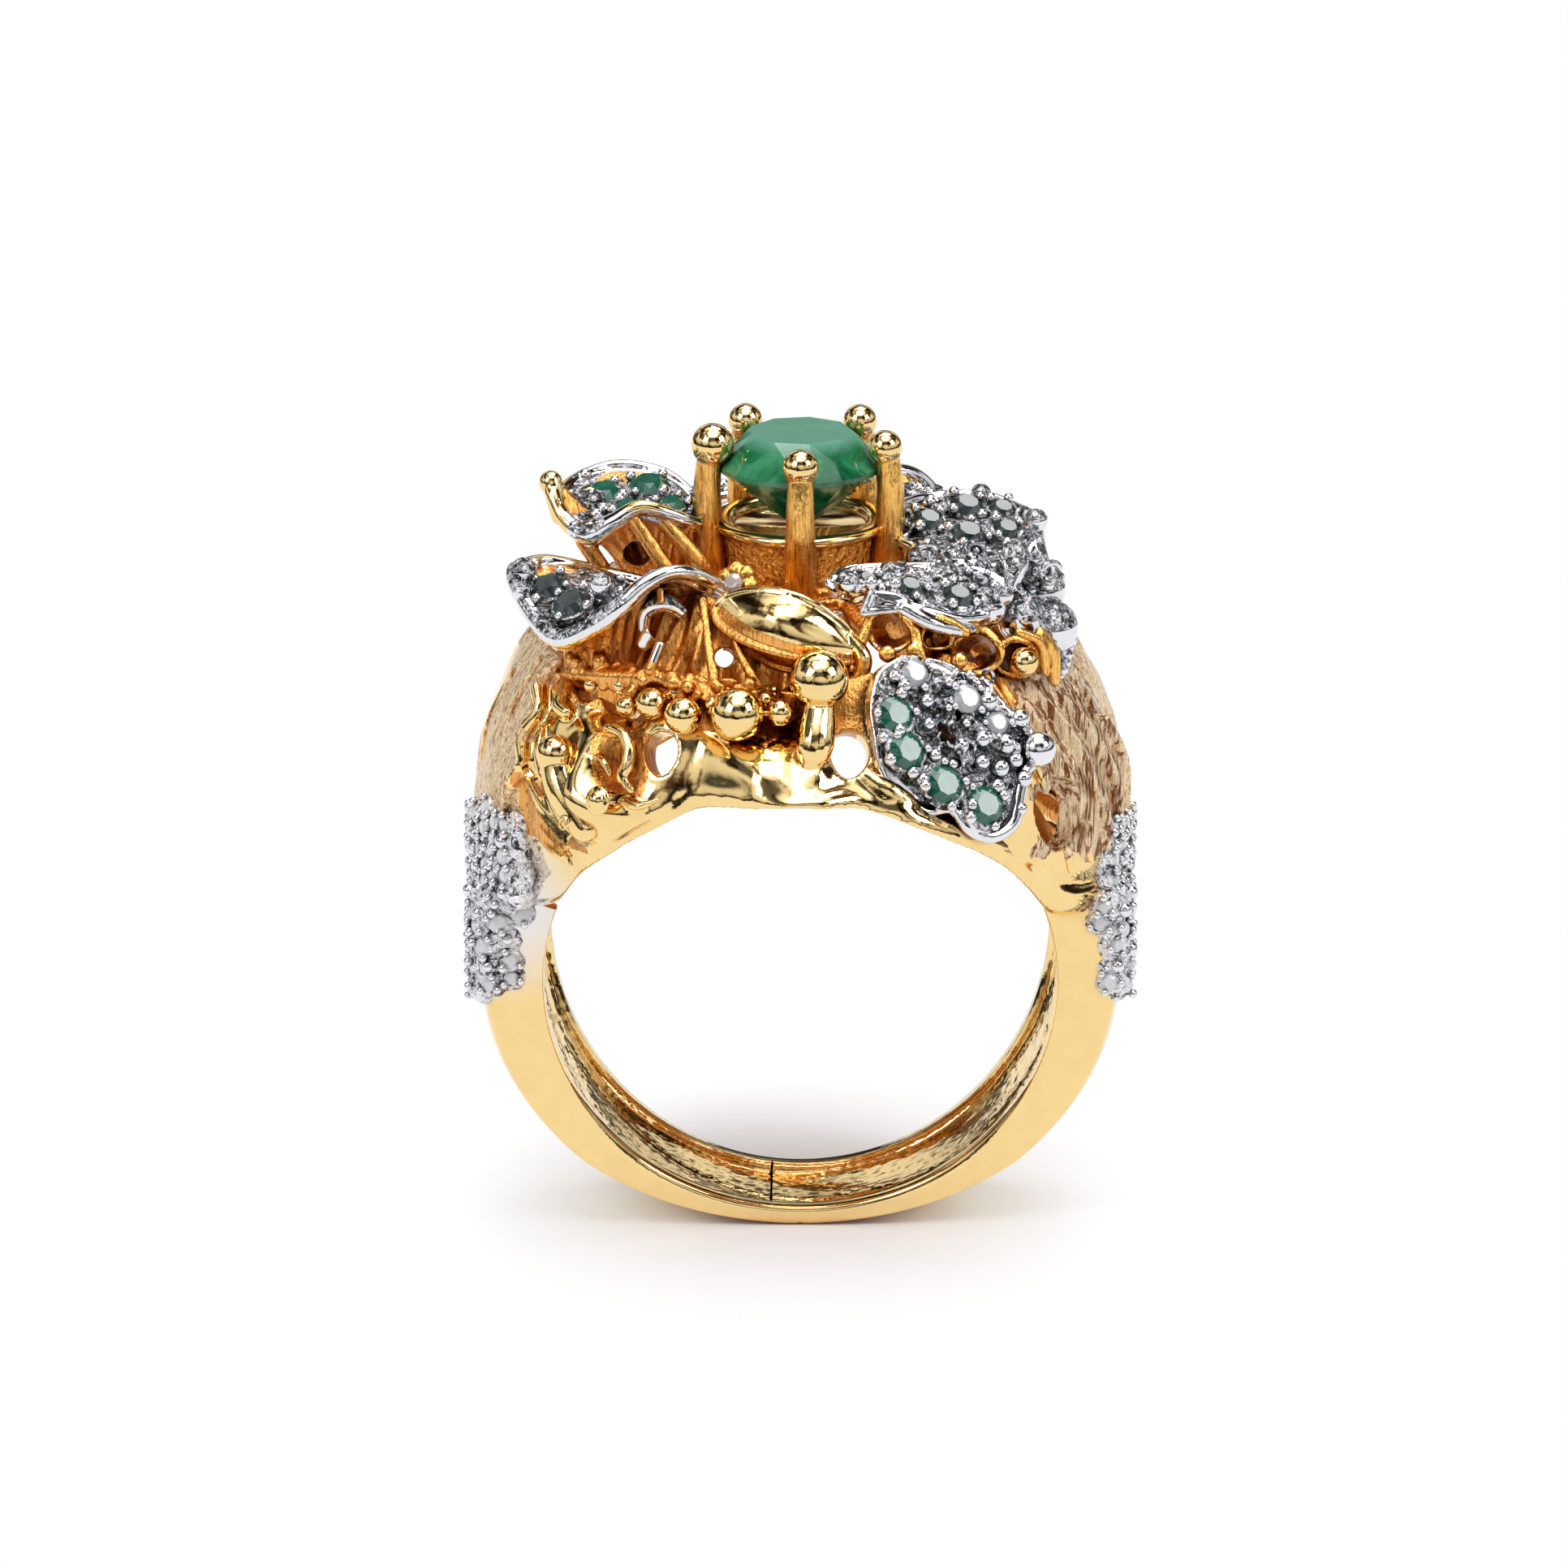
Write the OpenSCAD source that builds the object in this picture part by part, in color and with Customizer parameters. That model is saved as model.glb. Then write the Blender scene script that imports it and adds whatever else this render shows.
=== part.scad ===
// Cocktail ring: a domed openwork head with a round centre stone in five claws,
// petals and leaves set with small stones, and a plain shank made of two halves.
// Origin at the centre of the finger hole, finger axis along Y, stone up +Z, front -Y.

/* [Finger hole] */
// Inner diameter of the ring
bore_d = 17.3; // [15:0.1:21]

/* [Shank] */
// Thickness of the band at its lowest point
band_t = 0.64; // [0.5:0.01:1.2]
// Thickness of the band at its sides
side_t = 2.25; // [1.8:0.05:3]
// Width of the band at its lowest point
band_w = 4.9; // [3.6:0.1:6.2]
// Width of the band level with the hole's centre
side_w = 7.8; // [6.4:0.1:9]
// Depth of the hollow along the inside of the band
hollow_t = 0.3; // [0.2:0.05:0.4]
// Width of the polished rim left beside the hollow
rim_w = 0.55; // [0.4:0.05:0.8]
// Height of the shank's upper ends above the hole's centre
shank_top = 3.2; // [2.6:0.1:3.8]
// Width of the bridge over the top of the finger
bridge_w = 3.4; // [2.8:0.1:4.2]
// Thickness of that bridge
bridge_t = 0.8; // [0.6:0.05:1.1]

/* [Head] */
// How far the domed wall stands out from the finger hole
dome_out = 2.4; // [2:0.1:3]
// Height of the dome's own centre above the hole's centre
dome_z = 5; // [4.2:0.1:5.8]
// Thickness of the domed wall
wall_t = 1; // [0.8:0.05:1.3]
// Height of the domed wall's top edge above the dome's centre
wall_top = 6.3; // [5.4:0.1:7]
// Gap between the finger hole and the front and back lips of the head
lip_gap = 0.25; // [0.2:0.05:0.5]

/* [Centre stone] */
// Diameter of the stone's girdle
stone_d = 5.56; // [4.7:0.02:6.6]
// Height of the girdle above the dome's centre
girdle_h = 12.15; // [11.6:0.05:12.8]
// Depth from the girdle to the lowest point
pavilion_h = 2.3; // [1.8:0.05:2.8]
// Height of the stone above its girdle
crown_h = 1.15; // [0.9:0.05:1.4]
// Thickness of the girdle
girdle_t = 0.16; // [0.1:0.02:0.25]

/* [Claws] */
// Diameter of a claw just under its ball
claw_d = 0.88; // [0.75:0.01:1.05]
// Diameter of a claw at its foot
claw_foot_d = 1.2; // [1:0.05:1.4]
// Diameter of a claw's ball
claw_ball_d = 1.2; // [1.05:0.05:1.4]
// How far a claw grips over the girdle
claw_grip = 0.12; // [0.08:0.01:0.2]

/* [Basket] */
// Thickness of the basket's wall and hoops
basket_t = 0.6; // [0.5:0.05:0.8]
// Height of the bright upper hoop
hoop_h = 0.45; // [0.35:0.05:0.6]
// Height of the textured collar under it
collar_h = 1.5; // [1.2:0.1:1.8]
// Diameter of the struts under the head
strut_d = 0.7; // [0.6:0.05:0.9]
// Diameter of the stem under a petal's cup
stem_d = 0.55; // [0.4:0.05:0.55]

/* [Petals and leaves] */
// Thickness of a petal or leaf
leaf_t = 0.7; // [0.55:0.05:0.9]
// Thickness of the cup under a petal
cup_t = 0.5; // [0.4:0.05:0.7]
// Diameter of a green or grey leaf stone
leaf_stone_d = 1.3; // [1.1:0.05:1.5]
// Diameter of a small clear stone
small_stone_d = 0.9; // [0.75:0.05:1]
// Diameter of a setting bead
bead_d = 0.5; // [0.4:0.05:0.6]
// Diameter of a large polished ball
ball_d = 1.75; // [1.4:0.05:2]

/* [Hidden] */
$fn = 64;

bore_r = bore_d / 2;
hollow_r = bore_r + hollow_t;
dome_r = bore_r + dome_out;
far = 4 * dome_r;
eps = 0.01;
bead_lift = 0.1 * bead_d;

girdle_r = stone_d / 2;
girdle_z = dome_z + girdle_h;
culet_z = girdle_z - pavilion_h;
hoop_r = girdle_r + 0.12;
hoop_z = culet_z + 0.35;
collar_z = hoop_z - collar_h;
foot_z = collar_z - hoop_h;
foot_r = hoop_r - 0.25;
claw_r = girdle_r - claw_grip + claw_d / 2;
claw_foot_r = foot_r + 0.1;
claw_top = girdle_z + girdle_t / 2 + 0.55;

// Directions of the five claws, in degrees round the stone
CLAW_AZ = [270, 340, 48, 128, 193];

// Directions of the petals, leaves and scrolls round the head
AZ_UPPER_LEFT = 181;
AZ_LOWER_LEFT = 217;
AZ_BACK_LEFT = 137;
AZ_BACK_RIGHT = 59;
AZ_UPPER_RIGHT = 2;
AZ_MID_RIGHT = 305;
AZ_SCROLL_FRONT = 267;
AZ_SCROLL_BACK = 97;

// A place at direction az, at a share of the dome's radius and a height over its centre
function spot(az, share, h) = [
    share * dome_r * cos(az), share * dome_r * sin(az), dome_z + h
];

// A place on the dome's outside, at direction az and elevation el
function on_dome(az, el, out = 0) = [
    (dome_r + out) * cos(el) * cos(az),
    (dome_r + out) * cos(el) * sin(az),
    dome_z + (dome_r + out) * sin(el)
];

// Puts children, drawn flat with +X pointing outward, at p, facing az and tipped by tilt
module place(p, az, tilt = 0) {
    translate(p) rotate([0, 0, az]) rotate([0, tilt, 0]) children();
}

// Puts children, drawn with +Z outward and +Y up the wall, flat on the dome
module on_wall(az, el, out = 0) {
    translate(on_dome(az, el, out)) rotate([0, 0, az + 90]) rotate([90 - el, 0, 0])
        children();
}

// A straight round rod from a to b
module rod(a, b, d1, d2) {
    v = b - a;
    len = norm(v);
    translate(a) rotate([0, acos(v.z / len), atan2(v.y, v.x)])
        cylinder(d1 = d1, d2 = d2, h = len);
}

// ---- Shank ----

// Half of an oval, wide at the sides and thin at its lowest point
module shank_profile() {
    side_r = bore_r + side_t;
    low_r = bore_r + band_t;
    difference() {
        union() {
            polygon([for (a = [180:3:360]) [side_r * cos(a), low_r * sin(a)]]);
            translate([-side_r, -eps]) square([2 * side_r, shank_top + eps]);
        }
        circle(bore_r);
    }
}

// The band's outline from the side: it widens towards the head
module shank_side_profile() {
    rise = (side_w - band_w) / 2 / (bore_r + band_t);
    low = -bore_r - band_t - 1;
    w_low = side_w / 2 + rise * low;
    w_top = side_w / 2 + rise * shank_top;
    polygon([[-w_low, low], [w_low, low], [w_top, shank_top], [-w_top, shank_top]]);
}

module band() {
    hollow_w = band_w - 2 * rim_w;
    difference() {
        intersection() {
            rotate([90, 0, 0]) linear_extrude(far, center = true) shank_profile();
            rotate([90, 0, 90]) linear_extrude(far, center = true) shank_side_profile();
        }
        rotate([90, 0, 0]) cylinder(r = hollow_r, h = hollow_w, center = true);
    }
}

module half_space(side) {
    translate([side > 0 ? 0 : -far, -far / 2, -far / 2]) cube(far);
}

module shank_left() {
    color("goldenrod") intersection() { band(); half_space(-1); }
}

module shank_right() {
    color("goldenrod") intersection() { band(); half_space(1); }
}

// A strip over the top of the finger, from one end of the shank to the other
module bore_bridge() {
    color("goldenrod") rotate([90, 0, 0]) difference() {
        cylinder(r = bore_r + bridge_t, h = bridge_w, center = true);
        cylinder(r = bore_r, h = bridge_w + 1, center = true);
        translate([-far / 2, shank_top - far, -far / 2]) cube(far);
    }
}

// ---- Domed wall of the head ----

// The head's outline from the side: it narrows down to the shank
module head_side_profile() {
    rise = (side_w - band_w) / 2 / (bore_r + band_t);
    foot = side_w / 2 + rise * shank_top;
    reach = dome_r + 1;
    polygon([
        [-foot, shank_top], [foot, shank_top], [foot + 2.8, shank_top + 2.8],
        [reach, bore_r - 0.4], [reach, far], [-reach, far], [-reach, bore_r - 0.4],
        [-foot - 2.8, shank_top + 2.8],
    ]);
}

module dome_shell() {
    intersection() {
        difference() {
            translate([0, 0, dome_z]) sphere(dome_r);
            translate([0, 0, dome_z]) sphere(dome_r - wall_t);
            rotate([90, 0, 0]) cylinder(r = bore_r + lip_gap, h = far, center = true);
            translate([-far / 2, -far / 2, dome_z + wall_top]) cube(far);
        }
        rotate([90, 0, 90]) linear_extrude(far, center = true) head_side_profile();
    }
}

// The sector of the dome between two directions less than 180 degrees apart
module sector(from, to) {
    mid = (from + to) / 2;
    translate([0, 0, -far / 2]) linear_extrude(far) polygon([
        [0, 0], far * [cos(from), sin(from)], far * [cos(mid), sin(mid)],
        far * [cos(to), sin(to)],
    ]);
}

// A round or long hole through the wall, w wide and h high
module wall_hole(az, el, w, h, turn = 0) {
    on_wall(az, el) rotate([0, 0, turn]) translate([0, 0, -2 * wall_t])
        linear_extrude(4 * wall_t) {
            for (s = [-1, 1]) translate([0, s * (h - w) / 2]) circle(w / 2);
            square([w, max(h - w, eps)], center = true);
        }
}

SHOULDER = 36;

module shoulder(az, slots) {
    difference() {
        intersection() { dome_shell(); sector(az - SHOULDER, az + SHOULDER); }
        for (s = slots) wall_hole(az + s[0], s[1], s[2], s[3], s[4]);
        shank_ends();
    }
}

// The bridge passes inside the shoulders
module shank_ends() {
    rotate([90, 0, 0]) cylinder(r = bore_r + bridge_t, h = bridge_w, center = true);
}

module shoulder_left() {
    color("darkgoldenrod")
        shoulder(180, [[22, 20, 0.5, 3, -14], [6, 17, 0.7, 4, -6], [-16, 18, 0.7, 3.6, 10]]);
}

module shoulder_right() {
    color("darkgoldenrod")
        shoulder(0, [[-27, 8, 0.9, 2.6, 32], [-12, 20, 1, 2.8, -8], [16, 18, 0.7, 3.6, -10]]);
}

module gallery_front() {
    color("gold") difference() {
        intersection() { dome_shell(); sector(180 + SHOULDER, 360 - SHOULDER); }
        wall_hole(241, 26, 1.1, 1.4);
        wall_hole(279, 27, 1.0, 1.5, 15);
        wall_hole(227, 36, 0.7, 0.8);
        at_front_right() front_leaf_blank();
        knob_left_solid();
        berry_row(270);
        wall_scallops(180);
    }
}

module gallery_back() {
    color("gold") difference() {
        intersection() { dome_shell(); sector(SHOULDER, 180 - SHOULDER); }
        wall_hole(99, 27, 1, 1.5, 15);
        wall_hole(62, 27, 1.1, 1.6, -15);
            wall_hole(50, 15, 0.8, 1.1);
        at_back() front_leaf_blank();
        berry_row(90);
        wall_scallops(0);
    }
}

// Two shallow waves cut into the lower lip
module wall_scallops(turn) {
    rotate([0, 0, turn]) for (x = [-2.1, 3.4])
        translate([x, dome_r, bore_r - 1]) rotate([90, 0, 0])
            cylinder(r = 1.3, h = 8, center = true);
}

// ---- Basket and claws ----

module hoop(r1, r2, h) {
    difference() {
        cylinder(r1 = r1, r2 = r2, h = h);
        translate([0, 0, -eps])
            cylinder(r1 = r1 - basket_t, r2 = r2 - basket_t, h = h + 2 * eps);
    }
}

module claw(az) {
    foot = [claw_foot_r * cos(az), claw_foot_r * sin(az), foot_z];
    top = [claw_r * cos(az), claw_r * sin(az), claw_top];
    difference() {
        union() {
            rod(foot, top, claw_foot_d, claw_d);
            translate(top) sphere(d = claw_ball_d);
        }
        stone_body();
    }
}

// The round stone as two cones and a girdle, for seats; the cut stone fits inside it
module stone_body() {
    table_r = 0.62 * girdle_r;
    low = girdle_z - girdle_t / 2;
    translate([0, 0, low]) cylinder(r = girdle_r, h = girdle_t);
    translate([0, 0, low + girdle_t]) cylinder(r1 = girdle_r, r2 = table_r, h = crown_h);
    translate([0, 0, low - pavilion_h]) cylinder(r1 = 0.12, r2 = girdle_r, h = pavilion_h);
}

module centre_stone() { color("seagreen") stone_body(); }

module claw_front() { color("gold") claw(CLAW_AZ[0]); }
module claw_right() { color("gold") claw(CLAW_AZ[1]); }
module claw_back_right() { color("gold") claw(CLAW_AZ[2]); }
module claw_back_left() { color("gold") claw(CLAW_AZ[3]); }
module claw_left() { color("gold") claw(CLAW_AZ[4]); }

module all_claws() { for (az = CLAW_AZ) claw(az); }

module basket_top_hoop() {
    color("gold") difference() {
        translate([0, 0, hoop_z - hoop_h]) hoop(hoop_r, hoop_r, hoop_h);
        all_claws();
        stone_body();
    }
}

module basket_collar() {
    color("darkgoldenrod") difference() {
        translate([0, 0, collar_z]) hoop(foot_r, hoop_r, hoop_z - hoop_h - collar_z);
        all_claws();
        stone_body();
    }
}

module basket_foot_hoop() {
    color("gold") difference() {
        translate([0, 0, foot_z]) hoop(foot_r, foot_r, hoop_h);
        all_claws();
    }
}

// Directions of the struts, one under each petal and scroll
STRUT_AZ = [AZ_UPPER_RIGHT, AZ_BACK_RIGHT, AZ_SCROLL_BACK, AZ_BACK_LEFT,
    AZ_UPPER_LEFT, AZ_LOWER_LEFT, AZ_SCROLL_FRONT, AZ_MID_RIGHT];

strut_in_r = foot_r - basket_t / 2;
strut_out_r = sqrt(dome_r * dome_r - wall_top * wall_top) - wall_t / 2;
strut_in_z = foot_z - strut_d / 2;
strut_out_z = dome_z + wall_top - strut_d;
strut_fall = (strut_in_z - strut_out_z) / (strut_out_r - strut_in_r);

// Rods from under the basket out to the domed wall
module struts() {
    for (az = STRUT_AZ)
        rod([strut_in_r * cos(az), strut_in_r * sin(az), strut_in_z],
            [strut_out_r * cos(az), strut_out_r * sin(az), strut_out_z],
            strut_d, strut_d);
}

// Length of a stem from a petal's middle down to the strut under it
function stem_len(share, h, tilt) =
    (dome_z + h - strut_in_z + strut_fall * (share * dome_r - strut_in_r))
    / (cos(tilt) + strut_fall * sin(tilt));

// Struts, the ring that joins them, and posts down to the bridge
module strut_spider() {
    color("peru") difference() {
        union() {
            struts();
            translate([0, 0, foot_z - strut_d]) hoop(foot_r, foot_r, strut_d);
            for (s = [-1, 1]) for (t = [-1, 1])
                translate([s * 1.6, t * 1.2, bore_r]) cylinder(d = strut_d, h = foot_z - bore_r);
        }
        dome_shell();
        shank_ends();
        translate([0, 0, foot_z]) cylinder(r = foot_r + 1, h = 2);
        for (az = CLAW_AZ) claw(az);
    }
}

// ---- Petals, leaves and their stones ----

// A rounded outline: each lobe is a circle [x, y, r], joined to the next by a bar
module lobed(lobes) {
    for (l = lobes) translate([l[0], l[1]]) circle(l[2]);
    for (i = [0:len(lobes) - 2]) {
        a = lobes[i];
        b = lobes[i + 1];
        v = [b[0] - a[0], b[1] - a[1]];
        w = 0.8 * min(a[2], b[2]);
        n = w * [-v.y, v.x] / norm(v);
        polygon([[a[0], a[1]] + n, [a[0], a[1]] - n, [b[0], b[1]] - n, [b[0], b[1]] + n]);
    }
}

// One small round stone, its girdle at height zero
module small_stone(d) {
    translate([0, 0, -0.32 * d]) cylinder(d1 = 0.3 * d, d2 = d, h = 0.27 * d);
    translate([0, 0, -0.05 * d]) cylinder(d = d, h = 0.05 * d);
    cylinder(d1 = d, d2 = 0.6 * d, h = 0.18 * d);
}

module stones(spots, d) {
    for (s = spots) translate([s[0], s[1], leaf_t / 2]) small_stone(d);
}

// Beads stand on the plate and grip the stones beside them
module beads(spots, big = [], small = []) {
    difference() {
        for (s = spots) translate([s[0], s[1], leaf_t / 2 + bead_lift]) sphere(d = bead_d);
        stones(big, leaf_stone_d);
        stones(small, small_stone_d);
    }
}

// A plate with a seat for every stone and a socket for every bead
module set_plate(lobes, big, small, bead_spots) {
    difference() {
        linear_extrude(leaf_t, center = true) lobed(lobes);
        stones(big, leaf_stone_d);
        stones(small, small_stone_d);
        beads(bead_spots);
    }
}

// The fluted cup under a petal, narrow end down, with a stem to the strut under it
module petal_cup(at, x, rim_r, foot_r, h) {
    low = leaf_t / 2 + h;
    len = stem_len(at[1], at[2], at[3]);
    difference() {
        at_petal(at) {
            translate([x, 0, -low]) difference() {
                cylinder(r1 = foot_r, r2 = rim_r, h = h);
                translate([0, 0, cup_t])
                    cylinder(r1 = foot_r - cup_t, r2 = rim_r - cup_t, h = h);
            }
            translate([0, 0, -len]) cylinder(d = stem_d, h = len - low + cup_t / 2);
        }
        struts();
    }
}

// A petal's place: [direction, share of the dome's radius, height over its centre, tilt]
module at_petal(at) { place(spot(at[0], at[1], at[2]), at[0], at[3]) children(); }

// Upper left petal
PUL = [[-1.4, 0.8, 1.2], [0.1, 1.1, 1.3], [1.4, 0.4, 1.3], [2.2, 0.6, 0.75],
    [1.4, 0.4, 1.3], [1.2, -0.9, 1.2], [-0.2, -1, 1.3], [-1.5, -0.4, 1.2]];
PUL_STONES = [[-0.1, 1.2], [1.1, -0.5], [-0.6, -0.5], [1.4, 0.9]];
PUL_BEADS = [[0.5, 0.3], [-1.2, 0.6], [0.4, -1.5], [2.2, 0.6], [-1.5, -0.8], [1.8, -1]];
PUL_AT = [AZ_UPPER_LEFT, (foot_r + 2.76) / dome_r, 10.9, 4];
module at_upper_left() { at_petal(PUL_AT) children(); }
module petal_upper_left() {
    color("silver") difference() {
        at_upper_left() set_plate(PUL, PUL_STONES, [], PUL_BEADS);
        struts();
        claw(CLAW_AZ[4]);
    }
}
module cup_upper_left() { color("gold") petal_cup(PUL_AT, 0, 1.9, 1.1, 2.1); }
module green_stones_upper_left() {
    color("darkgreen") at_upper_left() stones(PUL_STONES, leaf_stone_d);
}
module beads_upper_left() { color("whitesmoke") at_upper_left() beads(PUL_BEADS, PUL_STONES); }

// Lower left petal
PLL = [[-1.5, 1.2, 1.1], [0, 1.2, 1.3], [1.3, 0.4, 1.3], [2.1, -0.2, 0.8],
    [0.6, -0.8, 1.3], [-1.2, -0.9, 1.2]];
PLL_STONES = [[1.5, 0.3], [0.3, 1.2], [0.2, -0.7]];
PLL_BEADS = [[0.9, 1], [2.3, -0.2], [1.1, -0.8], [-0.7, 0.2], [-0.8, 1.7], [-1.2, -1.4]];
PLL_AT = [AZ_LOWER_LEFT, 0.66, 9.1, 14];
module at_lower_left() { at_petal(PLL_AT) children(); }
module petal_lower_left() {
    color("silver") difference() {
        at_lower_left() set_plate(PLL, PLL_STONES, [], PLL_BEADS);
        dome_shell();
        struts();
    }
}
module cup_lower_left() { color("gold") petal_cup(PLL_AT, -0.2, 1.9, 1.2, 2.4); }
module grey_stones_lower_left() {
    color("darkslategray") at_lower_left() stones(PLL_STONES, leaf_stone_d);
}
module beads_lower_left() { color("whitesmoke") at_lower_left() beads(PLL_BEADS, PLL_STONES); }

// Upper right leaf
LUR = [[-1.3, 1.4, 1.1], [0.2, 1.4, 1.3], [1.7, 1, 1.1], [1.5, -0.5, 1.2],
    [1.8, -1.8, 1], [0.2, -1.3, 1.3], [-1.2, -0.6, 1.2]];
LUR_STONES = [[-0.7, 1.2], [0.8, 1.3], [1.6, -0.3], [0.2, -0.4], [-1.1, -0.5]];
LUR_BEADS = [[0, 0.4], [2.2, 1.2], [1, 0.4], [0.9, -1.3], [2.2, -1.9], [-0.4, -1.3], [-0.2, 2.1]];
LUR_AT = [AZ_UPPER_RIGHT, (foot_r + 2.99) / dome_r, 10, 12];
module at_upper_right() { at_petal(LUR_AT) children(); }
module leaf_upper_right() {
    color("silver") difference() {
        at_upper_right() set_plate(LUR, LUR_STONES, [], LUR_BEADS);
        struts();
        claw(CLAW_AZ[1]);
        dome_shell();
    }
}
module cup_upper_right() { color("gold") petal_cup(LUR_AT, 0, 1.9, 1.1, 1.7); }
module grey_stones_upper_right() {
    color("darkslategray") at_upper_right() stones(LUR_STONES, leaf_stone_d);
}
module beads_upper_right() { color("whitesmoke") at_upper_right() beads(LUR_BEADS, LUR_STONES); }

// Middle right leaf
LMR = [[-1.2, 2.2, 1.0], [0.2, 1.3, 1.2], [0.9, 0, 1.2], [0.3, -1.3, 1.2], [-0.8, -2.3, 1.1]];
LMR_STONES = [[0, 1.3], [0.6, -0.1], [-0.1, -1.5]];
LMR_BEADS = [[-1.2, 2.3], [0.8, 0.9], [-0.5, 0.5], [0.8, -1], [-0.9, -2.5], [-0.6, -0.8]];
LMR_AT = [AZ_MID_RIGHT, 0.6, 8.9, 28];
module at_mid_right() { at_petal(LMR_AT) children(); }
module leaf_mid_right() {
    color("silver") difference() {
        at_mid_right() set_plate(LMR, LMR_STONES, [], LMR_BEADS);
        dome_shell();
        struts();
    }
}
module cup_mid_right() { color("gold") petal_cup(LMR_AT, -0.2, 1.6, 1.1, 1.8); }
module grey_stones_mid_right() {
    color("darkslategray") at_mid_right() stones(LMR_STONES, leaf_stone_d);
}
module beads_mid_right() { color("whitesmoke") at_mid_right() beads(LMR_BEADS, LMR_STONES); }

// Front right leaf, nearly upright on the domed wall
LFR = [[-1.2, 1.4, 1.8], [1, 0.4, 1.8], [2.5, 0.1, 0.75], [1, 0.4, 1.8],
    [1.2, -1.5, 1.5], [-0.9, -0.6, 1.6], [-1.2, 1.4, 1.8]];
LFR_GREEN = [[-1.9, 1.5], [-1.5, 0.1], [0.05, -1.1], [1.5, -1.75]];
LFR_CLEAR = [[-0.7, 2.4], [0.7, 1.4], [1.7, 0.5]];
LFR_BEADS = [[-0.9, 0.9], [0.1, -0.2], [1, -0.6], [2.9, 0.1], [-0.6, -1.6],
    [2.3, -1.2], [0.1, 2], [-0.5, 1.6]];
module at_front_right() { on_wall(300, 28, leaf_t / 2) children(); }
module front_leaf_blank() { linear_extrude(leaf_t, center = true) lobed(LFR); }
module front_leaf() {
    difference() {
        set_plate(LFR, LFR_GREEN, LFR_CLEAR, LFR_BEADS);
        translate([-0.1, 0.55, 0]) linear_extrude(2 * leaf_t, center = true) {
            for (s = [-0.25, 0.25]) translate([0, s]) circle(0.16);
            square([0.32, 0.5], center = true);
        }
    }
}
module leaf_front_right() { color("silver") at_front_right() front_leaf(); }
module green_stones_front() {
    color("darkgreen") at_front_right() stones(LFR_GREEN, leaf_stone_d);
}
module clear_stones_front() {
    color("whitesmoke") at_front_right() stones(LFR_CLEAR, small_stone_d);
}
module beads_front() { color("whitesmoke") at_front_right() beads(LFR_BEADS, LFR_GREEN, LFR_CLEAR); }

// Leaf on the back wall, the same plate turned to the back
module at_back() { on_wall(120, 28, leaf_t / 2) children(); }
module leaf_back() { color("silver") at_back() front_leaf(); }
module green_stones_back() {
    color("darkgreen") at_back() {
        stones(LFR_GREEN, leaf_stone_d);
        stones(LFR_CLEAR, small_stone_d);
    }
}
module beads_back() { color("whitesmoke") at_back() beads(LFR_BEADS, LFR_GREEN, LFR_CLEAR); }

// Back left petal
PBL_AT = [AZ_BACK_LEFT, 0.62, 9.4, 16];
module at_back_left() { at_petal(PBL_AT) children(); }
module petal_back_left() {
    color("silver") difference() {
        at_back_left() set_plate(PLL, PLL_STONES, [], PLL_BEADS);
        dome_shell();
        struts();
        claw(CLAW_AZ[3]);
    }
}
module cup_back_left() { color("gold") petal_cup(PBL_AT, -0.2, 1.9, 1.2, 2.2); }
module green_stones_back_left() {
    color("darkgreen") at_back_left() stones(PLL_STONES, leaf_stone_d);
}
module beads_back_left() { color("whitesmoke") at_back_left() beads(PLL_BEADS, PLL_STONES); }

// Back right petal
PBR_AT = [AZ_BACK_RIGHT, 0.64, 9, 20];
module at_back_right() { at_petal(PBR_AT) children(); }
module petal_back_right() {
    color("silver") difference() {
        at_back_right() set_plate(LMR, LMR_STONES, [], LMR_BEADS);
        dome_shell();
        struts();
    }
}
module cup_back_right() { color("gold") petal_cup(PBR_AT, -0.2, 1.6, 1.1, 1.8); }
module grey_stones_back_right() {
    color("darkslategray") at_back_right() stones(LMR_STONES, leaf_stone_d);
}
module beads_back_right() { color("whitesmoke") at_back_right() beads(LMR_BEADS, LMR_STONES); }

// ---- Polished scrolls, balls and the small flower boss ----

// A curved strip: part of a hoop of radius r, w wide and t thick, over an angle
module curl(r, w, t, from, to) {
    intersection() {
        difference() {
            cylinder(r = r + t / 2, h = w, center = true);
            cylinder(r = r - t / 2, h = w + 1, center = true);
        }
        sector(from, to);
    }
}

// A spoon-like polished petal across the front
module scroll_shape(len, w) {
    intersection() {
        translate([0, 0, -1.4 * len]) difference() {
            sphere(1.4 * len + 0.35);
            sphere(1.4 * len - 0.35);
        }
        linear_extrude(3, center = true) lobed([[-len / 2 + w / 2, 0, w / 2],
            [0, 0.1, w * 0.52], [len / 2 - w * 0.3, -0.2, w * 0.3]]);
    }
}

module scroll_front() {
    color("gold") difference() {
        place(spot(AZ_SCROLL_FRONT, 0.68, 8.35), AZ_SCROLL_FRONT, 42) rotate([0, 0, 84]) scroll_shape(4.8, 2.4);
        struts();
        dome_shell();
        berry_row(270);
    }
}

module scroll_back() {
    color("gold") difference() {
        place(spot(AZ_SCROLL_BACK, 0.66, 8.2), AZ_SCROLL_BACK, 42) rotate([0, 0, 84]) scroll_shape(4.8, 2.4);
        struts();
        dome_shell();
        at_back_right() linear_extrude(leaf_t, center = true) lobed(LMR);
        at_back() front_leaf_blank();
        berry_row(90);
    }
}

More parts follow.
